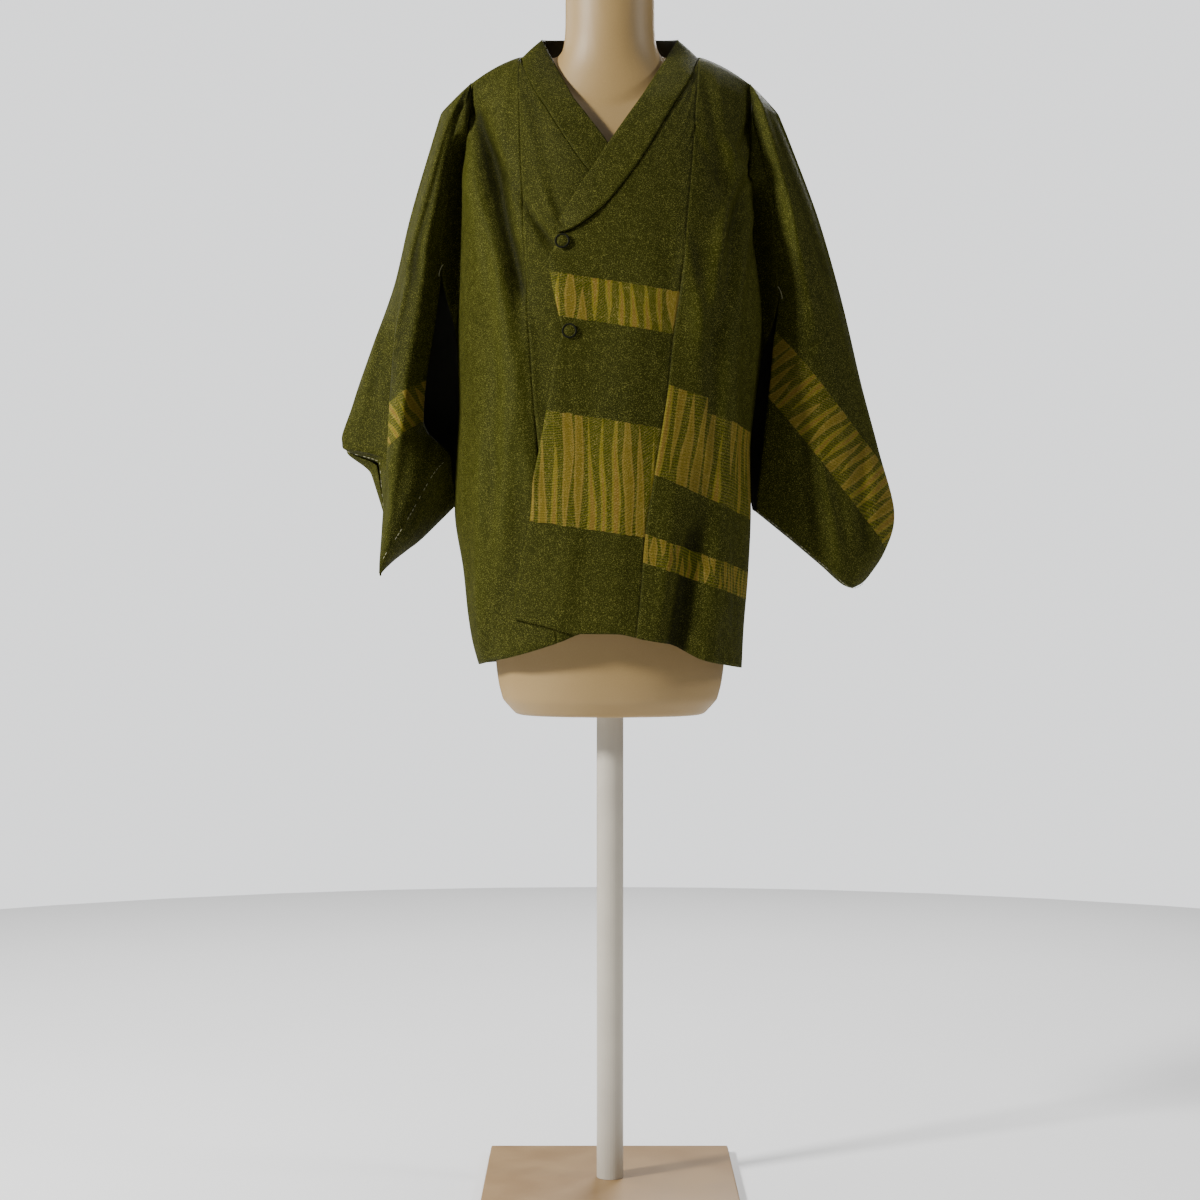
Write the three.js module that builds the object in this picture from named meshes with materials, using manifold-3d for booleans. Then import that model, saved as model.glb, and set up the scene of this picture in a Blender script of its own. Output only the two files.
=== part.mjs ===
// Kimono half coat on a limbless dress form.
// Millimetres, +Z up, floor at z = 0. The front faces -Y and the wearer's left is +X.
// Each cloth piece is a sheet of quads on one smooth garment surface, given a wall on its inner side.
import * as THREE from "three";
import Module from "manifold-3d";

// Driving sizes
const CLOTH = 1.6; // wall of a panel
const COLLAR_CLOTH = 2.6; // wall of the doubled collar band
const SEAM = 0.25; // each piece stops this far short of its seam line
const HEM_LEVEL = 620; // z where rise = 0
const SHOULDER_HALF = 168; // half width at the shoulder tips
const NECK_HALF = 108; // half width of the neckline at the shoulder line
const WRAP_LIFT = 5; // the left front lies this far outside the right front
const BUTTON_RADIUS = 8.6;
const BASE = 300; // side of the square base plate
const BASE_THICK = 10;
const POLE_RADIUS = 16;

const clamp = (v, lo, hi) => Math.min(hi, Math.max(lo, v));
const mix = (a, b, t) => a + (b - a) * t;
const ease = (lo, hi, v) => {
  const t = clamp((v - lo) / (hi - lo), 0, 1);
  return t * t * (3 - 2 * t);
};
const add = (p, q, k = 1) => [p[0] + q[0] * k, p[1] + q[1] * k, p[2] + q[2] * k];
const sub = (p, q) => add(p, q, -1);
const blend = (p, q, t) => [mix(p[0], q[0], t), mix(p[1], q[1], t), mix(p[2], q[2], t)];
const cross = (p, q) => [
  p[1] * q[2] - p[2] * q[1],
  p[2] * q[0] - p[0] * q[2],
  p[0] * q[1] - p[1] * q[0],
];
const unit = (p) => {
  const l = Math.hypot(...p) || 1;
  return [p[0] / l, p[1] / l, p[2] / l];
};

// A smooth curve through the rows of a table, without overshoot.
function curve(rows, along, value) {
  const xs = rows.map((r) => r[along]);
  const ys = rows.map((r) => r[value]);
  const n = xs.length;
  const slope = xs.slice(1).map((x, i) => (ys[i + 1] - ys[i]) / (x - xs[i]));
  const m = xs.map((x, i) => {
    if (i === 0) return slope[0];
    if (i === n - 1) return slope[n - 2];
    if (slope[i - 1] * slope[i] <= 0) return 0;
    return (2 * slope[i - 1] * slope[i]) / (slope[i - 1] + slope[i]);
  });
  return (x) => {
    const at = clamp(x, xs[0], xs[n - 1]);
    let i = 0;
    while (i < n - 2 && at > xs[i + 1]) i++;
    const h = xs[i + 1] - xs[i];
    const t = (at - xs[i]) / h;
    const a = (1 + 2 * t) * (1 - t) * (1 - t);
    const b = t * (1 - t) * (1 - t) * h;
    const c = t * t * (3 - 2 * t);
    const d = t * t * (t - 1) * h;
    return a * ys[i] + b * m[i] + c * ys[i + 1] + d * m[i + 1];
  };
}

// Half widths of the worn coat at each height, to the wearer's left and right
const widths = [
  { z: 622, left: 157, right: 156 },
  { z: 662, left: 159, right: 166 },
  { z: 737, left: 165, right: 175 },
  { z: 810, left: 168, right: 186 },
  { z: 875, left: 167, right: 184 },
  { z: 930, left: 172, right: 181 },
  { z: 975, left: 178, right: 182 },
  { z: 1025, left: 183, right: 183 },
  { z: 1100, left: 176, right: 181 },
  { z: 1140, left: 170, right: 179 },
  { z: 1180, left: 165, right: 176 },
  { z: 1236, left: 168, right: 172 },
  { z: 1285, left: 169, right: 170 },
  { z: 1321, left: 168, right: 168 },
];
// Depths of the coat on its centre line at each rise from hem level (0) to the shoulder line (1)
const depths = [
  { rise: 0, front: 126, back: 118 },
  { rise: 0.18, front: 133, back: 124 },
  { rise: 0.38, front: 134, back: 122 },
  { rise: 0.52, front: 130, back: 114 },
  { rise: 0.65, front: 122, back: 108 },
  { rise: 0.72, front: 114, back: 106 },
  { rise: 0.79, front: 104, back: 104 },
  { rise: 0.84, front: 93, back: 99 },
  { rise: 0.89, front: 77, back: 88 },
  { rise: 0.93, front: 60, back: 73 },
  { rise: 0.96, front: 42, back: 54 },
  { rise: 0.98, front: 27, back: 36 },
  { rise: 0.992, front: 15, back: 20 },
  { rise: 1, front: 0, back: 0 },
];
// The shoulder line, from the centre to the tip
const shoulder = [
  { x: 0, z: 1362 },
  { x: 60, z: 1360 },
  { x: 108, z: 1353.5 },
  { x: 128, z: 1346 },
  { x: 148, z: 1335 },
  { x: 168, z: 1321 },
];
const leftWidth = curve(widths, "z", "left");
const rightWidth = curve(widths, "z", "right");
const frontDepth = curve(depths, "rise", "front");
const backDepth = curve(depths, "rise", "back");
const shoulderLine = curve(shoulder, "x", "z");

const shoulderOver = (a) => shoulderLine(Math.abs(a) * SHOULDER_HALF);
const halfWidth = (a, rise) => (a >= 0 ? leftWidth : rightWidth)(HEM_LEVEL + 701 * rise);
const heightOf = (a, rise) => HEM_LEVEL + (shoulderOver(a) - HEM_LEVEL) * rise;

// The back neckline leaves the shoulder line and passes behind the neck.
function napeDepth(a) {
  const x = (Math.abs(a) * SHOULDER_HALF) / NECK_HALF;
  return x < 1 ? 64 * Math.sqrt(1 - x * x) : 0;
}

// A point of the plain garment surface. turn: 0 front, +90 the wearer's left, 180 back.
function plain(turn, rise) {
  const angle = (turn * Math.PI) / 180;
  const a = Math.sin(angle);
  const round = Math.pow(Math.max(0, 1 - Math.pow(Math.abs(a), 2.4)), 1 / 2.4);
  const atFront = Math.abs(turn) <= 90;
  const back = backDepth(rise);
  const y = atFront ? -frontDepth(rise) * round : back * round + napeDepth(a) * (1 - back / 124);
  return [a * halfWidth(a, rise), y, heightOf(a, rise)];
}

function plainNormal(turn, rise) {
  const t = clamp(turn, -178, 178);
  const side = Math.abs(Math.abs(t) - 90) < 1.5 ? Math.sign(t) : 0;
  if (side) return [side, 0, 0];
  const r = Math.min(rise, 0.995);
  const across = sub(plain(t + 0.5, r), plain(t - 0.5, r));
  const up = sub(plain(t, Math.min(1, r + 0.004)), plain(t, r - 0.004));
  return unit(cross(across, up));
}

// Folds of the front and back: a soft ridge (height > 0) or trough along a straight line.
const frontFolds = [
  { x0: -160, z0: 1267, x1: -141, z1: 1206, height: -7, width: 9 },
  { x0: -141, z0: 1206, x1: -111, z1: 1072, height: -8, width: 9 },
  { x0: -164, z0: 1200, x1: -146, z1: 1080, height: 4, width: 11 },
  { x0: -119, z0: 1030, x1: -92, z1: 850, height: 5, width: 13 },
  { x0: -140, z0: 980, x1: -150, z1: 700, height: 3, width: 16 },
  { x0: -104, z0: 1168, x1: -76, z1: 1118, height: -3, width: 6 },
  { x0: 142, z0: 1222, x1: 162, z1: 1192, height: 5, width: 9 },
  { x0: 158, z0: 1252, x1: 148, z1: 1220, height: -5, width: 7 },
  { x0: 150, z0: 1195, x1: 136, z1: 1133, height: -6, width: 8 },
  { x0: 131, z0: 1070, x1: 117, z1: 1018, height: -4, width: 9 },
  { x0: 128, z0: 1040, x1: 138, z1: 850, height: 4, width: 15 },
  { x0: 104, z0: 980, x1: 108, z1: 760, height: -3, width: 14 },
  { x0: 90, z0: 760, x1: 71, z1: 645, height: -9, width: 12 },
  { x0: 118, z0: 760, x1: 112, z1: 625, height: 5, width: 15 },
];
const backFolds = [
  { x0: -70, z0: 1150, x1: -96, z1: 700, height: 4, width: 20 },
  { x0: -30, z0: 980, x1: -44, z1: 620, height: -5, width: 18 },
  { x0: 28, z0: 1040, x1: 34, z1: 630, height: 4, width: 19 },
  { x0: 82, z0: 1120, x1: 104, z1: 640, height: -5, width: 19 },
  { x0: 128, z0: 1180, x1: 108, z1: 1020, height: -6, width: 13 },
  { x0: -132, z0: 1190, x1: -112, z1: 1030, height: -6, width: 13 },
];
function foldHeight(folds, x, z) {
  let sum = 0;
  for (const f of folds) {
    const dx = f.x1 - f.x0;
    const dz = f.z1 - f.z0;
    const length = Math.hypot(dx, dz);
    const along = ((x - f.x0) * dx + (z - f.z0) * dz) / length;
    const away = ((x - f.x0) * dz - (z - f.z0) * dx) / length;
    const over = Math.max(0, -along, along - length) / 30;
    sum += f.height * Math.exp(-((away / f.width) ** 2) - over * over);
  }
  return sum;
}

function garment(turn, rise, lift = 0) {
  const p = plain(turn, rise);
  const n = plainNormal(turn, rise);
  const fade = ease(1, 0.93, rise) * ease(0, 0.5, Math.abs(Math.cos((turn * Math.PI) / 180)) * 2);
  const folds = Math.abs(turn) <= 90 ? frontFolds : backFolds;
  return add(p, n, lift + foldHeight(folds, p[0], p[2]) * fade);
}

// The turn and rise of the front surface at a given x and z
function frontParams(x, z) {
  let rise = (z - HEM_LEVEL) / 740;
  let a = 0;
  for (let i = 0; i < 4; i++) {
    a = clamp(x / halfWidth(x, clamp(rise, 0, 1)), -0.999, 0.999);
    rise = Math.min(1, (z - HEM_LEVEL) / (shoulderOver(a) - HEM_LEVEL));
  }
  return { turn: (Math.asin(a) * 180) / Math.PI, rise };
}

// Lines of the two fronts: the seam between front panel and overlap panel, and the overlap's free edge
const seamLines = [
  { z: 620, left: 27, right: -58 },
  { z: 662, left: 29, right: -62 },
  { z: 702, left: 33, right: -66 },
  { z: 772, left: 38.5, right: -73 },
  { z: 849, left: 50, right: -80 },
  { z: 939, left: 64, right: -88 },
  { z: 998, left: 70.5, right: -92 },
  { z: 1053, left: 78, right: -97 },
  { z: 1110, left: 84, right: -100 },
  { z: 1183, left: 91, right: -103 },
  { z: 1292, left: 100, right: -107 },
  { z: 1338, left: 104.5, right: -108 },
  { z: 1353.5, left: 108, right: -108 },
];
const edgeLines = [
  { z: 620, left: -112, right: 102 },
  { z: 681, left: -110.5, right: 99 },
  { z: 748, left: -101, right: 93 },
  { z: 792, left: -91, right: 88 },
  { z: 850, left: -84.5, right: 82 },
  { z: 920, left: -71.5, right: 74 },
  { z: 984, left: -61, right: 68 },
  { z: 1009, left: -54, right: 65 },
  { z: 1022, left: -57, right: 64 },
  { z: 1068, left: -67, right: 61 },
  { z: 1093, left: -70, right: 60 },
  { z: 1107, left: -64, right: 59 },
  { z: 1122, left: -63, right: 58 },
];
// Collar lines on the fronts: the seam (outer) and the neck edge (inner), by x
const collarSeam = [
  { x: -72, left: 1116, right: 1116 },
  { x: -62.5, left: 1120, right: 1119 },
  { x: -47, left: 1124.5, right: 1126 },
  { x: -27, left: 1136.5, right: 1140 },
  { x: -3, left: 1158, right: 1164 },
  { x: 15.3, left: 1181.6, right: 1186 },
  { x: 36.6, left: 1212.5, right: 1213 },
  { x: 69.3, left: 1271, right: 1267 },
  { x: 97.5, left: 1322.6, right: 1320 },
  { x: 108, left: 1353.5, right: 1353.5 },
];
// Hem height of each piece, by x
const hemLeftFront = curve(
  [
    { x: -112, z: 681 },
    { x: -73, z: 672 },
    { x: -40, z: 663.5 },
    { x: 8, z: 663 },
    { x: 36, z: 657 },
    { x: 68, z: 651 },
    { x: 104, z: 634 },
    { x: 157, z: 621.5 },
  ],
  "x",
  "z",
);
const hemRightFront = curve(
  [
    { x: -157, z: 625.5 },
    { x: -110, z: 637 },
    { x: -59, z: 653 },
    { x: -30, z: 664 },
    { x: 30, z: 669 },
    { x: 104, z: 672 },
  ],
  "x",
  "z",
);
const hemBack = curve(
  [
    { x: -157, z: 625.5 },
    { x: 0, z: 629 },
    { x: 157, z: 621.5 },
  ],
  "x",
  "z",
);

// Where each sleeve meets the body: the front and back of the armhole, by height
const armholes = {
  left: [
    { z: 1071, x: 200, front: -36, back: 44, pocket: -12 },
    { z: 1100, x: 198, front: -38, back: 45, pocket: -11 },
    { z: 1130, x: 196, front: -39, back: 45, pocket: -11 },
    { z: 1164, x: 194, front: -39, back: 44, pocket: -12 },
    { z: 1190, x: 188.5, front: -38, back: 43, pocket: -16 },
    { z: 1208, x: 184, front: -37, back: 42, pocket: -36 },
    { z: 1249, x: 175, front: -33, back: 38, pocket: -35 },
    { z: 1272, x: 170, front: -29, back: 33, pocket: -30 },
    { z: 1296, x: 168, front: -22, back: 25, pocket: -24 },
    { z: 1308, x: 168, front: -14, back: 16, pocket: -15 },
    { z: 1321, x: 168, front: 0, back: 0, pocket: 0 },
  ],
  right: [
    { z: 1096, x: 199, front: -36, back: 46, pocket: -12 },
    { z: 1110, x: 202, front: -38, back: 46, pocket: -11 },
    { z: 1144, x: 199, front: -39, back: 46, pocket: -10 },
    { z: 1166, x: 196, front: -39, back: 45, pocket: -10 },
    { z: 1210, x: 193, front: -37, back: 43, pocket: -11 },
    { z: 1240, x: 188, front: -35, back: 39, pocket: -15 },
    { z: 1262, x: 183, front: -32, back: 36, pocket: -32 },
    { z: 1280, x: 178, front: -28, back: 31, pocket: -28 },
    { z: 1296, x: 172, front: -22, back: 25, pocket: -24 },
    { z: 1308, x: 169, front: -14, back: 16, pocket: -15 },
    { z: 1321, x: 168, front: 0, back: 0, pocket: 0 },
  ],
};
const SIDE_OPENING = 95; // open side below each sleeve, down to the top of the side seam

// Rows from hem (0) to shoulder (1). One row falls on the foot of the armhole.
function rowList(foot) {
  const low = [0, 0.09, 0.19, 0.3, 0.41, 0.52, 0.62, 0.71, 0.79, 0.86, 0.93, 1];
  const high = [0.13, 0.27, 0.4, 0.52, 0.63, 0.73, 0.82, 0.895, 0.95, 0.985, 1];
  return [...low.map((f) => f * foot), ...high.map((f) => mix(foot, 1, f))];
}

const sides = {
  left: { sign: 1, lift: WRAP_LIFT, hem: hemLeftFront, name: "left" },
  right: { sign: -1, lift: 0, hem: hemRightFront, name: "right" },
};
for (const s of Object.values(sides)) {
  const key = s.name;
  const hole = armholes[key];
  s.foot = (hole[0].z - HEM_LEVEL) / 701;
  s.rows = rowList(s.foot);
  s.seamX = curve(seamLines, "z", key);
  s.edgeX = curve(edgeLines, "z", key);
  s.collarZ = curve(collarSeam, "x", key);
  s.holeX = curve(hole, "z", "x");
  s.holeFront = curve(hole, "z", "front");
  s.holeBack = curve(hole, "z", "back");
  s.pocket = curve(hole, "z", "pocket");
  s.width = s.sign > 0 ? leftWidth : rightWidth;
}

const liftAt = (s, rise) => s.lift * ease(1, 0.94, rise);

// The front panel: share 0 is the overlap seam, 0.8 the turn of the side, 1 the side or armhole edge.
function frontPoint(s, share, rise) {
  let a = 0.5 * s.sign;
  for (let i = 0; i < 5; i++) {
    const seam = s.seamX(heightOf(a, rise));
    const low = Math.asin(clamp(seam / halfWidth(s.sign, rise), -0.98, 0.98));
    a = Math.sin(mix(low, (s.sign * Math.PI) / 2, share));
  }
  const turn = (Math.asin(clamp(a, -1, 1)) * 180) / Math.PI;
  const lift = liftAt(s, rise) * (1 - share * share);
  return garment(share > 0.999 ? s.sign * 90 : turn, rise, lift);
}
// The back panel: share 0 is below the neck point, 1 the side; below 0 it runs on to the centre back.
function backPoint(s, share, rise) {
  const low = Math.asin(NECK_HALF / SHOULDER_HALF);
  const angle = share >= 0 ? mix(low, Math.PI / 2, share) : low * (1 + share);
  return garment(s.sign * (180 - (angle * 180) / Math.PI), rise);
}
// Near the armhole the panel leaves the side of the body and runs out to the sleeve.
function withWing(s, share, rise, point, front) {
  if (share <= 0.8) return point;
  const z = HEM_LEVEL + 701 * rise;
  const footZ = HEM_LEVEL + 701 * s.foot;
  const open = ease(footZ - SIDE_OPENING, footZ, z) * ease(1, 0.94, rise);
  const end = z >= footZ ? 1 : ease(footZ - SIDE_OPENING, footZ, z);
  const edgeY = front ? s.holeFront(z) : s.holeBack(z);
  const side = [s.sign * s.width(z), 0, z];
  const hole = [s.sign * s.holeX(z), edgeY, z];
  const edge = blend(side, hole, end);
  if (share > 0.999) return edge;
  const pocketY = front ? s.pocket(z) : 26 * ease(1321, 1270, z);
  const pocketX = s.sign * (s.width(z) - 1);
  const base = front ? frontPoint(s, 0.9, rise) : backPoint(s, 0.9, rise);
  const middle = blend(base, [pocketX, pocketY, base[2]], Math.max(open, end * ease(1, 0.9, rise)));
  const start = front ? frontPoint(s, 0.8, rise) : backPoint(s, 0.8, rise);
  const q = (share - 0.8) / 0.2;
  const wa = (1 - q) * (1 - 2 * q);
  const wb = 4 * q * (1 - q);
  const wc = q * (2 * q - 1);
  return [0, 1, 2].map((i) => wa * start[i] + wb * middle[i] + wc * edge[i]);
}

function hemRise(s, share, front) {
  let rise = 0.02;
  for (let i = 0; i < 4; i++) {
    const p = front ? frontPoint(s, share, rise) : backPoint(s, share, rise);
    const z = (front ? s.hem : hemBack)(p[0]);
    rise = (z - HEM_LEVEL) / (shoulderOver(p[0] / s.width(HEM_LEVEL)) - HEM_LEVEL);
  }
  return rise;
}
// Below the foot of the armhole the rows spread from the piece's own hem.
const rowRise = (s, f, hem) => (f < s.foot ? mix(hem, s.foot, f / s.foot) : f);

// A sheet is a list of quads; corners at the same place become one vertex.
const keyOf = (p) => p.map((c) => Math.round(c * 100)).join(",");
class Sheet {
  constructor(name, wall = CLOTH) {
    this.name = name;
    this.wall = wall;
    this.points = [];
    this.index = new Map();
    this.faces = [];
  }
  corner(p) {
    const key = keyOf(p);
    if (!this.index.has(key)) {
      this.index.set(key, this.points.length);
      this.points.push(p);
    }
    return this.index.get(key);
  }
  quad(a, b, c, d) {
    const ids = [a, b, c, d].map((p) => this.corner(p));
    const ring = ids.filter((v, i) => v !== ids[(i + 1) % 4]);
    if (new Set(ring).size === ring.length && ring.length > 2) this.faces.push(ring);
  }
  // grid[row][column] seen from outside with rows going up and columns to the viewer's right
  grid(grid, keep = () => true) {
    for (let j = 0; j + 1 < grid.length; j++)
      for (let i = 0; i + 1 < grid[j].length; i++)
        if (keep(j, i)) this.quad(grid[j][i], grid[j][i + 1], grid[j + 1][i + 1], grid[j + 1][i]);
  }
}

const normals = new Map();
const between = []; // points part of the way along a neighbour's edge: they take its normals
function shareNormals() {
  for (const [p, a, b, t] of between) {
    normals.set(keyOf(p), blend(unit(normals.get(keyOf(a))), unit(normals.get(keyOf(b))), t));
  }
}
function gatherNormals(sheet) {
  for (const face of sheet.faces) {
    const p = face.map((v) => sheet.points[v]);
    const last = p[p.length - 1];
    const n = p.length === 4 ? cross(sub(p[2], p[0]), sub(p[3], p[1])) : cross(sub(p[1], p[0]), sub(last, p[0]));
    for (const corner of p) {
      const key = keyOf(corner);
      normals.set(key, add(normals.get(key) || [0, 0, 0], n));
    }
  }
}

// The sheet with its wall: outer face, inner face and the edges between them
function wallOf(sheet) {
  const edges = new Map();
  for (const face of sheet.faces)
    face.forEach((v, i) => {
      const w = face[(i + 1) % face.length];
      const back = `${w}_${v}`;
      if (edges.has(back)) edges.delete(back);
      else edges.set(`${v}_${w}`, [v, w, face]);
    });
  const outer = sheet.points.map((p) => [...p]);
  const pull = new Map();
  for (const [v, w, face] of edges.values()) {
    const centre = face.map((f) => sheet.points[f]).reduce((s, p) => add(s, p, 1 / face.length), [0, 0, 0]);
    const along = unit(sub(sheet.points[w], sheet.points[v]));
    const toward = sub(centre, sheet.points[v]);
    const inside = unit(sub(toward, along.map((c) => c * (toward[0] * along[0] + toward[1] * along[1] + toward[2] * along[2]))));
    for (const k of [v, w]) pull.set(k, [...(pull.get(k) || []), inside]);
  }
  for (const [k, list] of pull) for (const d of list) outer[k] = add(outer[k], d, SEAM);
  const inner = outer.map((p, k) => add(p, unit(normals.get(keyOf(sheet.points[k]))), -sheet.wall));
  const positions = [...outer, ...inner];
  const shift = outer.length;
  const tris = [];
  const fan = (ring) => {
    if (ring.length === 3) tris.push(ring);
    else {
      const [a, b, c, d] = ring;
      const first = Math.hypot(...sub(positions[a], positions[c]));
      const second = Math.hypot(...sub(positions[b], positions[d]));
      if (first <= second) tris.push([a, b, c], [a, c, d]);
      else tris.push([a, b, d], [b, c, d]);
    }
  };
  for (const face of sheet.faces) {
    const before = tris.length;
    fan(face);
    for (const t of tris.slice(before)) tris.push([t[2] + shift, t[1] + shift, t[0] + shift]);
  }
  for (const [v, w] of edges.values()) tris.push([w, v, v + shift], [w, v + shift, w + shift]);
  return { positions, tris };
}

function meshOf(name, positions, tris, colour) {
  const geometry = new THREE.BufferGeometry();
  geometry.setAttribute("position", new THREE.Float32BufferAttribute(positions.flat(), 3));
  geometry.setIndex(tris.flat());
  geometry.computeVertexNormals();
  const mesh = new THREE.Mesh(geometry, new THREE.MeshStandardMaterial({ color: colour, roughness: 0.8 }));
  mesh.name = name;
  return mesh;
}

// Body panels: one length of cloth on each side, from the front hem over the shoulder to the back hem
const shares = [0, 0.17, 0.34, 0.5, 0.66, 0.8, 0.9, 1];
const napeShares = [-1, -0.8, -0.6, -0.4, -0.2, 0];
const edgeOfBody = {};
function bodySheet(s) {
  const sheet = new Sheet(`body_${s.name}`);
  const front = s.rows.map((f) =>
    shares.map((share) => {
      const rise = rowRise(s, f, hemRise(s, Math.min(share, 0.999), true));
      return withWing(s, share, rise, frontPoint(s, share, rise), true);
    }),
  );
  const back = s.rows.map((f) =>
    [...napeShares, ...shares.slice(1)].map((share) => {
      const rise = rowRise(s, f, hemRise(s, share, false));
      return withWing(s, share, rise, backPoint(s, share, rise), false);
    }),
  );
  const last = s.rows.length - 1;
  const footRow = s.rows.findIndex((f) => Math.abs(f - s.foot) < 1e-6);
  const sideRow = s.rows.findIndex((f) => HEM_LEVEL + 701 * f > HEM_LEVEL + 701 * s.foot - SIDE_OPENING) - 1;
  // The shoulder line and the side seam belong to both halves.
  front[last].forEach((p, i) => (back[last][napeShares.length - 1 + i] = p));
  for (let j = 0; j <= sideRow; j++) {
    const p = front[j][shares.length - 1];
    const q = back[j][back[j].length - 1];
    const both = blend(p, q, 0.5);
    front[j][shares.length - 1] = both;
    back[j][back[j].length - 1] = both;
  }
  const ordered = s.sign > 0 ? front : front.map((r) => [...r].reverse());
  const orderedBack = s.sign > 0 ? back.map((r) => [...r].reverse()) : back;
  sheet.grid(ordered);
  sheet.grid(orderedBack);
  edgeOfBody[s.name] = {
    front: front.slice(footRow).map((r) => r[shares.length - 1]),
    back: back.slice(footRow).map((r) => r[r.length - 1]),
  };
  return sheet;
}

// Overlap panels: from the seam to the free front edge, cut off at the top along the collar seam
const overlapShares = [0, 0.14, 0.3, 0.46, 0.62, 0.76, 0.88, 1];
function overlapTop(s, share) {
  if (share > 0.999) return 1353.5;
  let low = 1100;
  let high = 1353.5;
  for (let i = 0; i < 30; i++) {
    const z = (low + high) / 2;
    const x = mix(s.edgeX(z), s.seamX(z), share);
    if (z < s.collarZ(s.sign > 0 ? x : -x)) low = z;
    else high = z;
  }
  return low;
}
function overlapSheet(s) {
  const sheet = new Sheet(`overlap_${s.name}`);
  const tops = overlapShares.map((share) => overlapTop(s, share));
  const hems = overlapShares.map((share) => {
    let z = 665;
    for (let i = 0; i < 4; i++) z = s.hem(mix(s.edgeX(z), s.seamX(z), share));
    return z;
  });
  const seamHem = hemRise(s, 0, true);
  const grid = s.rows.map((f) =>
    overlapShares.map((share, i) => {
      if (share > 0.999) return frontPoint(s, 0, rowRise(s, f, seamHem));
      const z = mix(hems[i], tops[i], f);
      const at = frontParams(mix(s.edgeX(z), s.seamX(z), share), z);
      return garment(at.turn, at.rise, liftAt(s, at.rise));
    }),
  );
  sheet.grid(s.sign > 0 ? grid : grid.map((r) => [...r].reverse()));
  return { sheet, top: grid[grid.length - 1] };
}

// Collar: a doubled band along the collar seams and round the back of the neck
const collarWidths = [
  { along: 0, width: 3, rise: 0 },
  { along: 0.05, width: 13, rise: 0 },
  { along: 0.12, width: 23, rise: 0 },
  { along: 0.22, width: 31, rise: 0 },
  { along: 0.36, width: 38, rise: 0 },
  { along: 0.55, width: 42, rise: 0 },
  { along: 0.8, width: 41, rise: 0.12 },
  { along: 0.92, width: 37, rise: 0.45 },
  { along: 1, width: 35, rise: 1 },
];
const collarWidth = curve(collarWidths, "along", "width");
const collarStand = curve(collarWidths, "along", "rise");
const neckEdge = {
  left: [
    { along: 0, x: -64, z: 1123 },
    { along: 0.06, x: -60.5, z: 1134 },
    { along: 0.13, x: -53.5, z: 1146.5 },
    { along: 0.24, x: -37.6, z: 1173.6 },
    { along: 0.35, x: -23, z: 1196 },
    { along: 0.56, x: 2.7, z: 1236 },
    { along: 0.8, x: 37.2, z: 1289 },
  ],
  right: [
    { along: 0, x: -60, z: 1123 },
    { along: 0.06, x: -56, z: 1134 },
    { along: 0.13, x: -49, z: 1147 },
    { along: 0.24, x: -33, z: 1174 },
    { along: 0.35, x: -19, z: 1196 },
    { along: 0.56, x: 6, z: 1236 },
    { along: 0.8, x: 43, z: 1289 },
  ],
};
const across = [0, 0.5, 1];
// outer: a point on the top line of the overlap panel, from its front end to the neck point
function collarRow(s, outer) {
  const along = clamp((outer[0] * s.sign + 63) / (NECK_HALF + 63), 0, 1);
  const edgeX = curve(neckEdge[s.name], "along", "x");
  const edgeZ = curve(neckEdge[s.name], "along", "z");
  const flat = Math.min(along, 0.8);
  const q = frontParams(s.sign * edgeX(flat), edgeZ(flat));
  const inFront = garment(q.turn, q.rise, liftAt(s, q.rise));
  const atNeck = [s.sign * 82, 10, 1377.5];
  const late = ease(0.8, 1, along) * 0.5 + clamp((along - 0.8) / 0.2, 0, 1) * 0.5;
  const inner = blend(inFront, atNeck, along > 0.8 ? late : 0);
  return across.map((c) => {
    const p = blend(outer, inner, c);
    const bulge = Math.sin(c * Math.PI) * (along > 0.8 ? 1.5 : 0);
    return [p[0], p[1] - bulge, p[2]];
  });
}
const napeSteps = [-0.8, -0.6, -0.4, -0.2, 0, 0.2, 0.4, 0.6, 0.8];
function napeRow(k) {
  const share = Math.abs(k) - 1;
  const s = k >= 0 ? sides.left : sides.right;
  const outer = backPoint(s, share, 1);
  const angle = (k * Math.PI) / 2;
  const inner = [82 * Math.sin(angle), 10 + 60 * Math.cos(angle) ** 0.9, 1377.5 + 14 * Math.cos(angle)];
  return across.map((c) => {
    const p = blend(outer, inner, c);
    return [p[0], p[1] + Math.sin(c * Math.PI) * 2, p[2]];
  });
}
function collarSheet(tops) {
  const sheet = new Sheet("collar", COLLAR_CLOTH);
  const [leftRows, rightRows] = tops.map((top, k) => {
    const s = k ? sides.right : sides.left;
    const line = [top[0]];
    for (let i = 1; i < top.length; i++) {
      const middle = blend(top[i - 1], top[i], 0.5);
      between.push([middle, top[i - 1], top[i], 0.5]);
      line.push(middle, top[i]);
    }
    return line.map((p) => collarRow(s, p));
  });
  const nape = napeSteps.map(napeRow);
  const rows = [...leftRows, ...nape.reverse(), ...rightRows.reverse()];
  sheet.grid(rows.map((r) => [...r].reverse()));
  return sheet;
}

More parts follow.
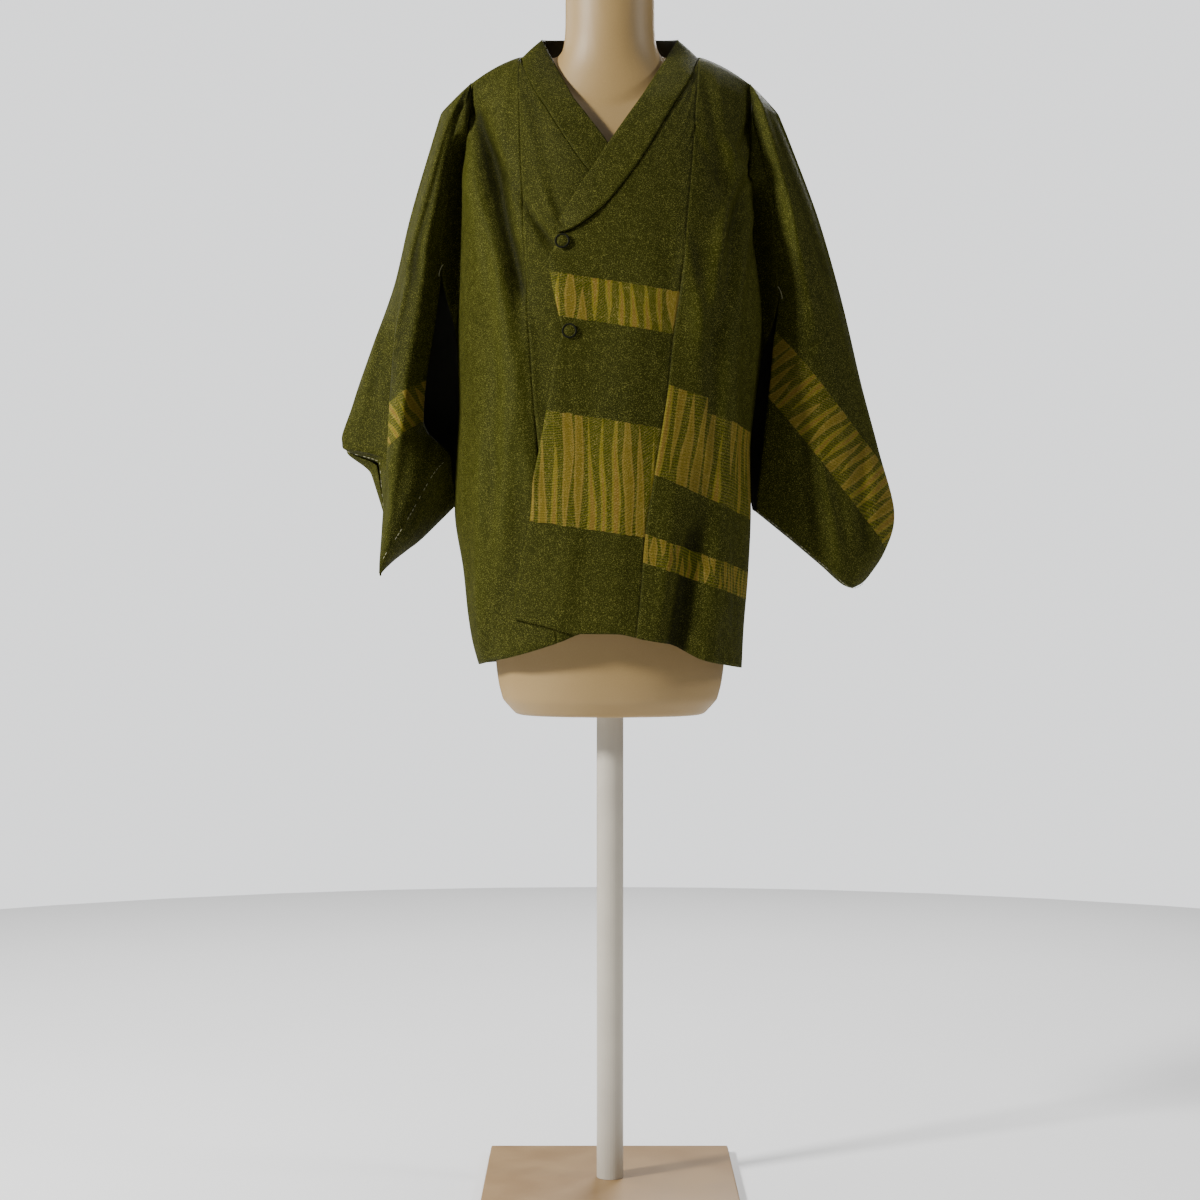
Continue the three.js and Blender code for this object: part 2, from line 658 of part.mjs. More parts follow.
// Sleeves. Each row is a line round the sleeve: six points out over the front layer, six back along the
// back layer. Rows above the foot of the armhole start and end on the body's edge.
const sleeveRows = {
  left: [
    { foot: 0.9, front: [[170, -27, 1284], [180, -30, 1283], [187, -26, 1283], [193, -18, 1284], [198, -8, 1285]], back: [[198, 6, 1285], [194, 18, 1284], [188, 28, 1283], [180, 33, 1283], [170, 31, 1284]] },
    { foot: 0.72, front: [[175, -33, 1249], [190, -39, 1247], [201, -34, 1246], [209, -22, 1246], [214, -8, 1246]], back: [[214, 8, 1246], [209, 22, 1246], [200, 34, 1246], [189, 40, 1247], [177, 38, 1249]] },
    { foot: 0.37, front: [[194, -39, 1164], [213, -49, 1162], [229, -43, 1160], [240, -27, 1158], [247, -9, 1157]], back: [[247, 9, 1157], [240, 27, 1158], [228, 40, 1160], [212, 47, 1162], [195, 44, 1164]] },
    { foot: 0, front: [[200, -36, 1071], [222, -54, 1068], [246, -48, 1064], [264, -30, 1060], [276, -9, 1056]], back: [[275, 12, 1056], [262, 30, 1060], [243, 42, 1064], [221, 48, 1068], [200, 44, 1071]] },
    { foot: -0.25, front: [[193, -36, 1005], [225, -58, 996], [257, -50, 986], [285, -29, 975], [299, -4, 966]], back: [[292, 26, 966], [274, 34, 975], [250, 38, 986], [222, 42, 996], [196, 36, 1005]] },
    { foot: -0.5, front: [[187, -34, 940], [228, -54, 926], [270, -47, 910], [305, -26, 895], [322, 2, 884]], back: [[304, 34, 884], [287, 30, 895], [258, 24, 910], [224, 26, 926], [190, 22, 940]] },
    { foot: -0.75, front: [[180, -31, 874], [228, -48, 855], [275, -44, 834], [322, -26, 815], [342, 4, 808]], back: [[322, 36, 812], [303, 26, 822], [270, 12, 836], [226, 10, 856], [184, 6, 874]] },
    { foot: -0.9, front: [[175, -28, 832], [220, -42, 804], [264, -42, 776], [306, -28, 757], [330, 2, 760]], back: [[314, 32, 768], [294, 18, 768], [260, -6, 780], [219, -10, 806], [177, -4, 832]] },
    { foot: -1, front: [[173, -26, 808], [212, -36, 775], [250, -36, 742], [284, -22, 714], [305, 4, 722]], back: [[296, 26, 734], [282, -4, 720], [250, -26, 746], [213, -28, 779], [174, -18, 811]] },
  ],
  right: [
    { foot: 0.9, front: [[176, -27, 1284], [184, -30, 1283], [190, -26, 1284], [195, -18, 1285], [199, -8, 1286]], back: [[199, 8, 1286], [195, 20, 1285], [190, 29, 1284], [184, 33, 1283], [176, 30, 1284]] },
    { foot: 0.7, front: [[186, -34, 1251], [195, -38, 1250], [202, -33, 1250], [207, -21, 1250], [210, -8, 1250]], back: [[210, 9, 1250], [207, 23, 1250], [202, 34, 1250], [194, 40, 1250], [186, 38, 1251]] },
    { foot: 0.31, front: [[196, -39, 1166], [211, -49, 1164], [223, -44, 1163], [231, -27, 1162], [236, -8, 1161]], back: [[236, 10, 1161], [231, 28, 1162], [223, 41, 1163], [211, 48, 1164], [196, 45, 1166]] },
    { foot: 0, front: [[199, -36, 1096], [218, -58, 1094], [236, -54, 1092], [247, -34, 1088], [254, -8, 1084]], back: [[254, 12, 1084], [245, 31, 1088], [232, 44, 1092], [216, 50, 1094], [199, 46, 1096]] },
    { foot: -0.25, front: [[208, -46, 1030], [229, -70, 1026], [251, -62, 1022], [262, -32, 1014], [281, -4, 1008]], back: [[280, 16, 1008], [260, 32, 1014], [240, 44, 1020], [218, 50, 1026], [198, 49, 1030]] },
    { foot: -0.5, front: [[217, -48, 965], [238, -76, 958], [259, -66, 950], [268, -34, 944], [304, -2, 938]], back: [[303, 19, 938], [272, 36, 944], [246, 46, 950], [220, 50, 956], [198, 50, 962]] },
    { foot: -0.7, front: [[218, -48, 912], [238, -78, 900], [262, -66, 884], [270, -34, 880], [318, 2, 884]], back: [[316, 22, 877], [280, 36, 876], [250, 44, 882], [222, 48, 892], [198, 48, 900]] },
    { foot: -0.85, front: [[204, -46, 886], [232, -74, 872], [262, -62, 838], [268, -34, 842], [276, -14, 872]], back: [[286, 20, 850], [266, 28, 838], [240, 32, 838], [216, 34, 846], [193, 36, 856]] },
    { foot: -0.95, front: [[192, -36, 878], [217, -62, 850], [249, -62, 800], [268, -44, 782], [270, -26, 800]], back: [[268, 8, 794], [254, 10, 784], [232, 12, 794], [210, 16, 812], [189, 22, 826]] },
    { foot: -1, front: [[188, -32, 873], [208, -50, 848], [240, -54, 790], [264, -44, 752], [275, -30, 730]], back: [[271, -20, 731], [256, -18, 745], [233, -12, 762], [206, -4, 790], [187, 6, 812]] },
  ],
};
const HOLE_POINTS = 9; // points of a row over each layer
const CUFF_TOP = { left: -0.45, right: -0.6 }; // the top fold ends here and the cuff opening begins

function spline(points, t) {
  const last = points.length - 1;
  const i = clamp(Math.floor(t), 0, last - 1);
  const u = t - i;
  const p1 = points[i];
  const p2 = points[i + 1];
  const p0 = points[i - 1] || add(p1, sub(p2, p1), -1);
  const p3 = points[i + 2] || add(p2, sub(p2, p1));
  return [0, 1, 2].map((k) => {
    const a = 2 * p1[k];
    const b = p2[k] - p0[k];
    const c = 2 * p0[k] - 5 * p1[k] + 4 * p2[k] - p3[k];
    const d = -p0[k] + 3 * p1[k] - 3 * p2[k] + p3[k];
    return 0.5 * (a + b * u + c * u * u + d * u * u * u);
  });
}

function sleeveGrid(s) {
  const table = sleeveRows[s.name].map((row) => {
    const flip = ([x, y, z]) => [Math.abs(x) * s.sign, y, z];
    const front = row.front.map(flip);
    const back = row.back.map(flip);
    const end = blend(front[front.length - 1], back[0], 0.5);
    const out = row.foot > CUFF_TOP[s.name] ? 4 : 0;
    const tip = [end[0] + s.sign * out, end[1], end[2]];
    return { foot: row.foot, ring: [...front, tip, ...back] };
  });
  const edge = edgeOfBody[s.name];
  const steps = edge.front.length - 1; // rows on the armhole, 0 at its foot
  const levels = [];
  for (let j = steps - 1; j >= 0; j--) {
    const z = edge.front[j][2];
    levels.push({ foot: (z - edge.front[0][2]) / (1321 - edge.front[0][2]), row: j });
  }
  const free = [-0.08, -0.17, -0.26, -0.36, -0.46, -0.56, -0.66, -0.75, -0.83, -0.9, -0.95, -1];
  for (const foot of free) levels.push({ foot });
  const count = HOLE_POINTS * 2 + 1;
  const ringAt = (foot) => {
    let i = 0;
    while (i < table.length - 2 && foot < table[i + 1].foot) i++;
    const t = i + clamp((table[i].foot - foot) / (table[i].foot - table[i + 1].foot), -1, 1);
    return (w) => {
      const column = table.map((r) => spline(r.ring, w * (r.ring.length - 1)));
      return spline(column, Math.max(0, t));
    };
  };
  const top = [edge.front[steps - 1], edge.front[steps], edge.back[steps - 1]];
  const grid = levels.map(({ foot, row }, k) => {
    const ring = ringAt(foot);
    const line = [];
    for (let i = 0; i < count; i++) {
      const w = i / (count - 1);
      let p = ring(w);
      const arcSide = w < 0.5 ? 0 : 1;
      const arc = blend(top[arcSide], top[arcSide + 1], w * 2 - arcSide);
      if (foot > table[0].foot) p = blend(arc, p, ((1 - foot) / (1 - table[0].foot)) ** 0.7);
      if (k === 0) {
        p = arc;
        if (i % HOLE_POINTS !== 0) between.push([p, top[arcSide], top[arcSide + 1], w * 2 - arcSide]);
      }
      if (row !== undefined && k > 0) {
        const near = ring(0);
        const far = ring(1);
        const keep = Math.exp(-w * 7);
        const keepFar = Math.exp(-(1 - w) * 7);
        p = add(p, sub(edge.front[row], near), keep - keepFar * Math.exp(-7));
        p = add(p, sub(edge.back[row], far), keepFar - keep * Math.exp(-7));
      }
      line.push(p);
    }
    if (row !== undefined && k > 0) {
      line[0] = edge.front[row];
      line[count - 1] = edge.back[row];
    }
    return line;
  });
  return { grid, levels, count };
}

function sleeveSheet(s) {
  const sheet = new Sheet(`sleeve_${s.name}`);
  const { grid, levels, count } = sleeveGrid(s);
  const half = (count - 1) / 2;
  const cuff = CUFF_TOP[s.name];
  const open = (j) => levels[j].foot <= cuff;
  const rows = s.sign > 0 ? grid.map((r) => r) : grid.map((r) => [...r].reverse());
  const upward = [...rows].reverse();
  const total = rows.length - 1;
  sheet.grid(upward, (j, i) => !((i === half || i === half - 1) && open(total - j - 1)));
  // The bottom seam closes the front layer to the back layer.
  const bottom = rows[total];
  for (let i = 0; i < half - 1; i++) {
    sheet.quad(bottom[i + 1], bottom[i], bottom[count - 1 - i], bottom[count - 2 - i]);
  }
  return sheet;
}

const sheets = [];
sheets.push(bodySheet(sides.left), bodySheet(sides.right));
const overlaps = [overlapSheet(sides.left), overlapSheet(sides.right)];
sheets.push(...overlaps.map((o) => o.sheet));
sheets.push(collarSheet(overlaps.map((o) => o.top)));
sheets.push(sleeveSheet(sides.left), sleeveSheet(sides.right));
sheets.forEach(gatherNormals);
shareNormals();

const colours = { coat: 0x4d5220, form: 0xe0c79a, base: 0xd9c193, metal: 0xb9b4a8 };
const group = new THREE.Group();
group.name = "kimono_half_coat_on_form";
for (const sheet of sheets) {
  const { positions, tris } = wallOf(sheet);
  group.add(meshOf(sheet.name, positions, tris, colours.coat));
}

// Buttons: covered discs with a raised ring, just off the cloth of the left front
function buttonMesh(name, x, z) {
  const at = frontParams(x, z);
  const centre = garment(at.turn, at.rise, WRAP_LIFT + 0.5);
  const n = plainNormal(at.turn, at.rise);
  const profile = [
    [0.01, 0],
    [BUTTON_RADIUS - 1.2, 0],
    [BUTTON_RADIUS, 0.8],
    [BUTTON_RADIUS, 2.4],
    [BUTTON_RADIUS - 0.8, 3.2],
    [BUTTON_RADIUS - 2, 3.1],
    [BUTTON_RADIUS - 2.6, 2.5],
    [BUTTON_RADIUS * 0.4, 3.1],
    [0.01, 3.3],
  ].map(([r, h]) => new THREE.Vector2(r < 0.1 ? 0 : r, h));
  const geometry = new THREE.LatheGeometry(profile, 20);
  geometry.rotateX(Math.PI / 2);
  const mesh = new THREE.Mesh(geometry, new THREE.MeshStandardMaterial({ color: colours.coat, roughness: 0.7 }));
  mesh.quaternion.setFromUnitVectors(new THREE.Vector3(0, 0, 1), new THREE.Vector3(...n));
  mesh.position.set(...centre);
  mesh.name = name;
  return mesh;
}
group.add(buttonMesh("button_upper", -54, 1111), buttonMesh("button_lower", -46, 1008));

// Dress form: a smooth torso and neck in one piece, a pole and a square base plate
const formSections = [
  { rise: -0.075, width: 112, front: 76, back: 76 },
  { rise: -0.06, width: 126, front: 88, back: 86 },
  { rise: 0.0, width: 136, front: 96, back: 93 },
  { rise: 0.15, width: 142, front: 100, back: 98 },
  { rise: 0.35, width: 138, front: 94, back: 92 },
  { rise: 0.5, width: 134, front: 92, back: 88 },
  { rise: 0.65, width: 140, front: 100, back: 92 },
  { rise: 0.76, width: 146, front: 96, back: 92 },
  { rise: 0.84, width: 150, front: 80, back: 86 },
  { rise: 0.9, width: 154, front: 61, back: 72 },
  { rise: 0.94, width: 157, front: 45, back: 58 },
  { rise: 0.965, width: 159, front: 32, back: 43 },
  { rise: 0.98, width: 160, front: 22, back: 31 },
  { rise: 0.992, width: 160, front: 12, back: 17 },
  { rise: 1, width: 160, front: 1.5, back: 1.5 },
];
const neckSections = [
  { z: 1286, width: 96, depth: 60, y: 2 },
  { z: 1312, width: 84, depth: 56, y: 3 },
  { z: 1334, width: 70, depth: 52, y: 2 },
  { z: 1352, width: 60, depth: 50, y: 0 },
  { z: 1370, width: 55, depth: 49, y: -2 },
  { z: 1395, width: 53.5, depth: 49, y: -4 },
  { z: 1432, width: 53.5, depth: 49.5, y: -5 },
  { z: 1438, width: 51.5, depth: 47.5, y: -5 },
  { z: 1440, width: 47, depth: 43, y: -5 },
];
function ringsToSolid(rings) {
  const count = rings[0].length;
  const positions = rings.flat();
  const tris = [];
  for (let j = 0; j + 1 < rings.length; j++)
    for (let i = 0; i < count; i++) {
      const k = (i + 1) % count;
      const a = j * count + i;
      const b = j * count + k;
      tris.push([a, b, b + count], [a, b + count, a + count]);
    }
  const low = positions.length;
  const mean = (ring) => ring.reduce((s, p) => add(s, p, 1 / count), [0, 0, 0]);
  positions.push(mean(rings[0]), mean(rings[rings.length - 1]));
  const topStart = (rings.length - 1) * count;
  for (let i = 0; i < count; i++) {
    const k = (i + 1) % count;
    tris.push([low, k, i], [low + 1, topStart + i, topStart + k]);
  }
  return { positions, tris };
}
function formRings() {
  const count = 28;
  return formSections.map((r) =>
    Array.from({ length: count }, (_, i) => {
      const angle = (i / count) * 2 * Math.PI;
      const a = Math.sin(angle);
      const c = Math.cos(angle);
      const round = Math.sign(c) * Math.pow(Math.max(0, 1 - Math.abs(a) ** 2.3), 1 / 2.3);
      const top = shoulderOver((a * r.width) / SHOULDER_HALF);
      const under = mix(c > 0 ? 9 : 5, 2.6, ease(112, 135, Math.abs(a * r.width))) * ease(0.4, 0.9, r.rise);
      const z = HEM_LEVEL + (top - HEM_LEVEL) * r.rise - under;
      return [a * r.width, -round * (c > 0 ? r.front : r.back), z];
    }),
  );
}
function neckRings() {
  const count = 28;
  return neckSections.map((r) =>
    Array.from({ length: count }, (_, i) => {
      const angle = (i / count) * 2 * Math.PI;
      return [Math.sin(angle) * r.width, r.y - Math.cos(angle) * r.depth, r.z];
    }),
  );
}
const wasm = await Module();
wasm.setup();
function solidFrom({ positions, tris }) {
  return new wasm.Manifold(
    new wasm.Mesh({
      numProp: 3,
      vertProperties: new Float32Array(positions.flat()),
      triVerts: new Uint32Array(tris.flat()),
    }),
  );
}
function meshFrom(solid, name, colour) {
  const m = solid.getMesh();
  const geometry = new THREE.BufferGeometry();
  const p = [];
  for (let i = 0; i < m.numVert; i++) p.push(...m.vertProperties.slice(i * m.numProp, i * m.numProp + 3));
  geometry.setAttribute("position", new THREE.Float32BufferAttribute(p, 3));
  geometry.setIndex(Array.from(m.triVerts));
  const mesh = new THREE.Mesh(geometry, new THREE.MeshStandardMaterial({ color: colour, roughness: 0.6 }));
  mesh.name = name;
  return mesh;
}
const torso = solidFrom(ringsToSolid(formRings())).add(solidFrom(ringsToSolid(neckRings())));
group.add(meshFrom(torso, "form_torso", colours.form));
const torsoBottom = HEM_LEVEL + (1362 - HEM_LEVEL) * -0.075;
const poleFrom = BASE_THICK + 0.3;
const poleTo = torsoBottom - 0.4;
const pole = new THREE.Mesh(
  new THREE.CylinderGeometry(POLE_RADIUS, POLE_RADIUS, poleTo - poleFrom, 32),
  new THREE.MeshStandardMaterial({ color: colours.metal, roughness: 0.4 }),
);
pole.geometry.rotateX(Math.PI / 2);
pole.position.set(0, 0, (poleFrom + poleTo) / 2);
pole.name = "form_pole";
group.add(pole);
const plate = new THREE.Mesh(
  new THREE.BoxGeometry(BASE, BASE, BASE_THICK),
  new THREE.MeshStandardMaterial({ color: colours.base, roughness: 0.6 }),
);
plate.position.set(0, 0, BASE_THICK / 2);
plate.name = "form_base";
group.add(plate);

export default group;
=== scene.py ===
import bpy
import bmesh
import math
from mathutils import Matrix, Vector


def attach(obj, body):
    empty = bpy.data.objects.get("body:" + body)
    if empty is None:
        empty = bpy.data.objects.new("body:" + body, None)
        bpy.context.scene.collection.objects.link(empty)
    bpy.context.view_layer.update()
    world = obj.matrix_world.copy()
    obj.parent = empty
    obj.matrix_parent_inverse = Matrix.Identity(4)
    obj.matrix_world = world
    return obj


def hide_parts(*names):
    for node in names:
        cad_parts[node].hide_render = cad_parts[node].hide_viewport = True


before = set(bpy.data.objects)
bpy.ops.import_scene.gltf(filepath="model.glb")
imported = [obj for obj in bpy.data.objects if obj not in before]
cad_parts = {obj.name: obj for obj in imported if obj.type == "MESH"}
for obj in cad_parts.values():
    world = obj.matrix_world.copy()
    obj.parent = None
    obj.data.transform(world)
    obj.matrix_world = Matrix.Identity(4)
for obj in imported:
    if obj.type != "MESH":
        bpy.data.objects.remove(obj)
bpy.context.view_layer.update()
print("frame loaded")

# Camera and light
view = {"x": -0.012, "y": -2.6, "z": 0.702, "lens": 65.0}
bpy.ops.object.camera_add(location=(view["x"], view["y"], view["z"]), rotation=(math.radians(90), 0, 0))
camera = bpy.context.object
camera.data.lens = view["lens"]
camera.data.sensor_width = 36.0
bpy.context.scene.camera = camera

world = bpy.data.worlds.new("studio")
bpy.context.scene.world = world
world.use_nodes = True
glow = {"seen": (0.80, 0.81, 0.82), "seenStrength": 1.95, "light": (0.93, 0.95, 1.0), "lightStrength": 0.12}
worldTree = world.node_tree
lit = worldTree.nodes["Background"]
lit.inputs["Color"].default_value = (*glow["light"], 1)
lit.inputs["Strength"].default_value = glow["lightStrength"]
seen = worldTree.nodes.new("ShaderNodeBackground")
seen.inputs["Color"].default_value = (*glow["seen"], 1)
seen.inputs["Strength"].default_value = glow["seenStrength"]
rays = worldTree.nodes.new("ShaderNodeLightPath")
both = worldTree.nodes.new("ShaderNodeMixShader")
worldTree.links.new(rays.outputs["Is Camera Ray"], both.inputs[0])
worldTree.links.new(lit.outputs[0], both.inputs[1])
worldTree.links.new(seen.outputs[0], both.inputs[2])
worldTree.links.new(both.outputs[0], worldTree.nodes["World Output"].inputs["Surface"])
lamps = {
    "key": {"at": (-2.5, -1.5, 2.2), "size": 0.42, "power": 205},
    "fill": {"at": (2.4, -0.6, 1.9), "size": 0.5, "power": 26},
    "top": {"at": (0.1, 0.1, 3.2), "size": 0.8, "power": 20},
    "side": {"at": (-2.4, 1.4, 1.9), "size": 1.2, "power": 26},
    "rear": {"at": (0.6, 2.3, 2.6), "size": 1.2, "power": 85}}
lampAim = Vector((0, 0, 0.95))
for name, lamp in lamps.items():
    bpy.ops.object.light_add(type="AREA", location=lamp["at"])
    light = bpy.context.object
    light.name = "lamp_" + name
    light.data.energy = lamp["power"]
    light.data.size = lamp["size"]
    light.rotation_euler = (lampAim - Vector(lamp["at"])).to_track_quat("-Z", "Y").to_euler()
print("camera and lamps")


# Shader helper
class Sock:
    def __init__(self, tree, socket):
        self.tree = tree
        self.socket = socket

    def math(self, kind, *others):
        n = self.tree.nodes.new("ShaderNodeMath")
        n.operation = kind
        for i, v in enumerate((self, *others)):
            if isinstance(v, Sock):
                self.tree.links.new(v.socket, n.inputs[i])
            else:
                n.inputs[i].default_value = v
        return Sock(self.tree, n.outputs[0])

    def flipped(self, kind, other):
        n = self.tree.nodes.new("ShaderNodeMath")
        n.operation = kind
        n.inputs[0].default_value = other
        self.tree.links.new(self.socket, n.inputs[1])
        return Sock(self.tree, n.outputs[0])

    def __add__(self, o): return self.math("ADD", o)
    def __radd__(self, o): return self.flipped("ADD", o)
    def __sub__(self, o): return self.math("SUBTRACT", o)
    def __rsub__(self, o): return self.flipped("SUBTRACT", o)
    def __mul__(self, o): return self.math("MULTIPLY", o)
    def __rmul__(self, o): return self.flipped("MULTIPLY", o)
    def __truediv__(self, o): return self.math("DIVIDE", o)
    def __gt__(self, o): return self.math("GREATER_THAN", o)
    def __lt__(self, o): return self.math("LESS_THAN", o)
    def sin(self): return self.math("SINE")
    def abs(self): return self.math("ABSOLUTE")
    def floor(self): return self.math("FLOOR")
    def frac(self): return self.math("FRACT")
    def power(self, o): return self.math("POWER", o)
    def most(self, o): return self.math("MAXIMUM", o)

    def ramp(self, low, high):
        n = self.tree.nodes.new("ShaderNodeMapRange")
        n.interpolation_type = "SMOOTHSTEP"
        self.tree.links.new(self.socket, n.inputs["Value"])
        n.inputs["From Min"].default_value = low
        n.inputs["From Max"].default_value = high
        return Sock(self.tree, n.outputs["Result"])


class Paint:
    def __init__(self, name):
        self.material = bpy.data.materials.new(name)
        self.material.use_nodes = True
        self.tree = self.material.node_tree
        self.shader = self.tree.nodes["Principled BSDF"]

    def node(self, kind, settings=None, values=None, out=0):
        n = self.tree.nodes.new(kind)
        for key, value in (settings or {}).items():
            setattr(n, key, value)
        for key, value in (values or {}).items():
            if isinstance(value, Sock):
                self.tree.links.new(value.socket, n.inputs[key])
            else:
                n.inputs[key].default_value = value
        return Sock(self.tree, n.outputs[out])

    def place(self, name):
        return self.node("ShaderNodeUVMap", {"uv_map": name})

    def spot(self):
        return self.node("ShaderNodeTexCoord", out=3)

    def axes(self, vector):
        n = self.tree.nodes.new("ShaderNodeSeparateXYZ")
        self.tree.links.new(vector.socket, n.inputs[0])
        return [Sock(self.tree, n.outputs[i]) for i in range(3)]

    def join(self, x, y, z=0.0):
        return self.node("ShaderNodeCombineXYZ", values={"X": x, "Y": y, "Z": z})

    def noise(self, vector, scale, detail=2.0, rough=0.5):
        values = {"Vector": vector, "Scale": scale, "Detail": detail, "Roughness": rough}
        return self.node("ShaderNodeTexNoise", values=values)

    def mix(self, factor, a, b):
        n = self.tree.nodes.new("ShaderNodeMix")
        n.data_type = "RGBA"
        for key, value in ((0, factor), (6, a), (7, b)):
            if isinstance(value, Sock):
                self.tree.links.new(value.socket, n.inputs[key])
            else:
                n.inputs[key].default_value = value if key == 0 else (*value, 1)
        return Sock(self.tree, n.outputs[2])

    def set(self, values):
        for key, value in values.items():
            if isinstance(value, Sock):
                self.tree.links.new(value.socket, self.shader.inputs[key])
            else:
                self.shader.inputs[key].default_value = value

    def bump(self, height, distance, strength=1.0):
        values = {"Height": height, "Distance": distance, "Strength": strength}
        self.set({"Normal": self.node("ShaderNodeBump", values=values)})


def flecks(paint):
    spot = paint.spot()
    fine = paint.noise(spot, 1180.0, 1.0)
    patch = paint.noise(spot, 110.0, 2.0, 0.6)
    return (fine + (patch - 0.5) * 0.14).ramp(0.54, 0.68)


# Gold bands, in metres: sides, height and slope of the top and low lines, pitch of the spindles, seed, turn, face.
bandTables = {
    "overlap_left": [
        (-0.11, 0.12, 1.0665, -0.154, 1.0165, -0.152, 0.0145, 1.7, 0, "both"),
        (-0.13, 0.08, 0.9065, -0.158, 0.7785, -0.150, 0.0140, 4.1, 0, "both")],
    "body_left": [
        (0.0, 0.112, 0.9670, -0.300, 0.8660, -0.420, 0.0145, 2.3, 0, "front"),
        (0.112, 0.3, 0.9500, -0.300, 0.8660, -0.420, 0.0145, 2.3, 0, "front"),
        (0.0, 0.3, 0.7905, -0.340, 0.7575, -0.340, 0.0085, 6.4, 0, "front"),
        (0.0, 0.3, 0.8990, 0.0, 0.7950, 0.0, 0.0145, 2.3, 0, "rear"),
        (0.0, 0.3, 0.7330, 0.0, 0.7000, 0.0, 0.0085, 6.4, 0, "rear")],
    "sleeve_left": [(0.1, 0.5, 1.2580, -1.215, 1.1750, -1.245, 0.0135, 3.2, -0.88, "both")],
    "sleeve_right": [
        (-0.262, -0.19, 1.0950, 0.62, 1.0890, 0.80, 0.0120, 5.5, 0.6, "front"),
        (-0.272, -0.1, 1.0950, 0.62, 1.0440, 0.62, 0.0120, 5.5, 0.6, "rear")]}
# Two of these colours are painted light: a near-black painted shade for fold hollows and a lighter painted highlight
# for fold tops.
clothColours = {
    "dark": (0.0112, 0.0120, 0.0010), "light": (0.0175, 0.0182, 0.0015), "rib": (0.040, 0.041, 0.0015),
    "trough": (0.0035, 0.0037, 0.0002), "ridge": (0.034, 0.036, 0.002), "fleck": (0.118, 0.114, 0.022),
    "gold": (0.165, 0.092, 0.018), "olive": (0.130, 0.092, 0.008), "rimGreen": (0.155, 0.125, 0.010),
    "rimGold": (0.185, 0.125, 0.022), "groundDark": (0.020, 0.024, 0.0008), "groundLight": (0.075, 0.072, 0.003),
    "thread": (0.045, 0.038, 0.003), "goldFleck": (0.30, 0.23, 0.07)}
clothWeave = {"rib": 0.0013, "bandRib": 0.0034, "bump": 0.0004}  # metres


def clothPaint(name, bands):
    p, colours = Paint(name), clothColours
    u, v, _ = p.axes(p.place("cloth"))
    x, z, _ = p.axes(p.place("front"))
    wide = p.noise(p.join(u * 7.0, v * 5.0), 1.0, 3.0)
    shade = p.mix(wide.ramp(0.3, 0.7), colours["dark"], colours["light"])
    ribs = (v * 2 * math.pi / clothWeave["rib"]).sin() * 0.5 + 0.5
    yarn = p.noise(p.join(u * 160.0, v * 1700.0), 1.0, 2.0)
    shade = p.mix(ribs * 0.25 + yarn.ramp(0.45, 0.75) * 0.3, shade, colours["rib"])
    light = flecks(p)
    # Painted shade darkens the cloth and its flecks in fold hollows, and a painted highlight lightens fold tops, both
    # from the stored fold height.
    foldShade, rear, _ = p.axes(p.place("foldShade"))
    shade = p.mix(foldShade.ramp(0.45, 0.12) * 0.8, shade, colours["trough"])
    shade = p.mix(foldShade.ramp(0.56, 0.86) * 0.4, shade, colours["ridge"])
    light = light * (1.0 - foldShade.ramp(0.45, 0.2) * 0.7)
    colour = p.mix(light, shade, colours["fleck"])
    raised = ribs * 0.35 + light * 0.5 + yarn * 0.4
    for x0, x1, topZ, topSlope, lowZ, lowSlope, pitch, seed, turn, face in bands:
        wobble = (p.noise(p.join(u * 60.0, v * 60.0), 1.0, 2.0) - 0.5) * 0.004
        top = x * topSlope + topZ + wobble
        low = x * lowSlope + lowZ + wobble
        inside = (top > z) * (z > low) * (x > x0) * (x < x1)
        if face != "both":
            inside = inside * (rear > 0.5 if face == "rear" else rear < 0.5)
        height = (z - low) / (top - low)
        across = ((u if name == "cloth_body_left" else x) + z * math.tan(turn)) * math.cos(turn)
        sway = p.noise(p.join(across * 30.0, height * 1.2, seed), 1.0, 1.0) - 0.5
        cell = across / pitch + seed + sway * 0.9
        number = cell.floor()
        chance = ((number * 12.9898 + seed).sin() * 43758.5453).abs().frac()
        other = ((number * 78.233 + seed).sin() * 24634.6345).abs().frac()
        middle = (cell - number - 0.5).abs() * 2.0
        centre = chance * 1.5 - 0.25
        pinch = (height - centre).abs().power(1.5)
        frayed = (p.noise(p.join(u * 420.0, v * 700.0), 1.0, 3.0, 0.65) - 0.5) * 0.42
        plump = (1.0 - pinch * (0.8 + other * 0.5)).most(0.04) * (0.52 + other * 0.5)
        reach = plump - middle + frayed
        lens = reach.ramp(-0.05, 0.1)
        core = reach.ramp(0.22, 0.42)
        tone = p.mix(other.ramp(0.35, 0.65), colours["gold"], colours["olive"])
        rim = p.mix(other.ramp(0.3, 0.7), colours["rimGreen"], colours["rimGold"])
        ribTone = (v * 2 * math.pi / clothWeave["bandRib"]).sin() * 0.5 + 0.5
        ground = p.mix(ribTone * 0.8, colours["groundDark"], colours["groundLight"])
        thread = p.noise(p.join(u * 240.0, v * 1500.0), 1.0, 3.0, 0.6)
        figure = p.mix(core * 0.85, rim, tone)
        figure = p.mix(thread.ramp(0.35, 0.7) * 0.5, figure, colours["thread"])
        figure = p.mix(lens * (0.66 + 0.34 * ribTone), ground, figure)
        figure = p.mix(light * 0.5, figure, colours["goldFleck"])
        colour = p.mix(inside, colour, figure)
        raised = raised * (1.0 - inside * 0.6) + inside * (lens * 0.5 + ribTone * 0.4)
    p.set({"Base Color": colour, "Roughness": 0.58, "Specular IOR Level": 0.035})
    p.bump(raised, clothWeave["bump"], 0.8)
    return p.material


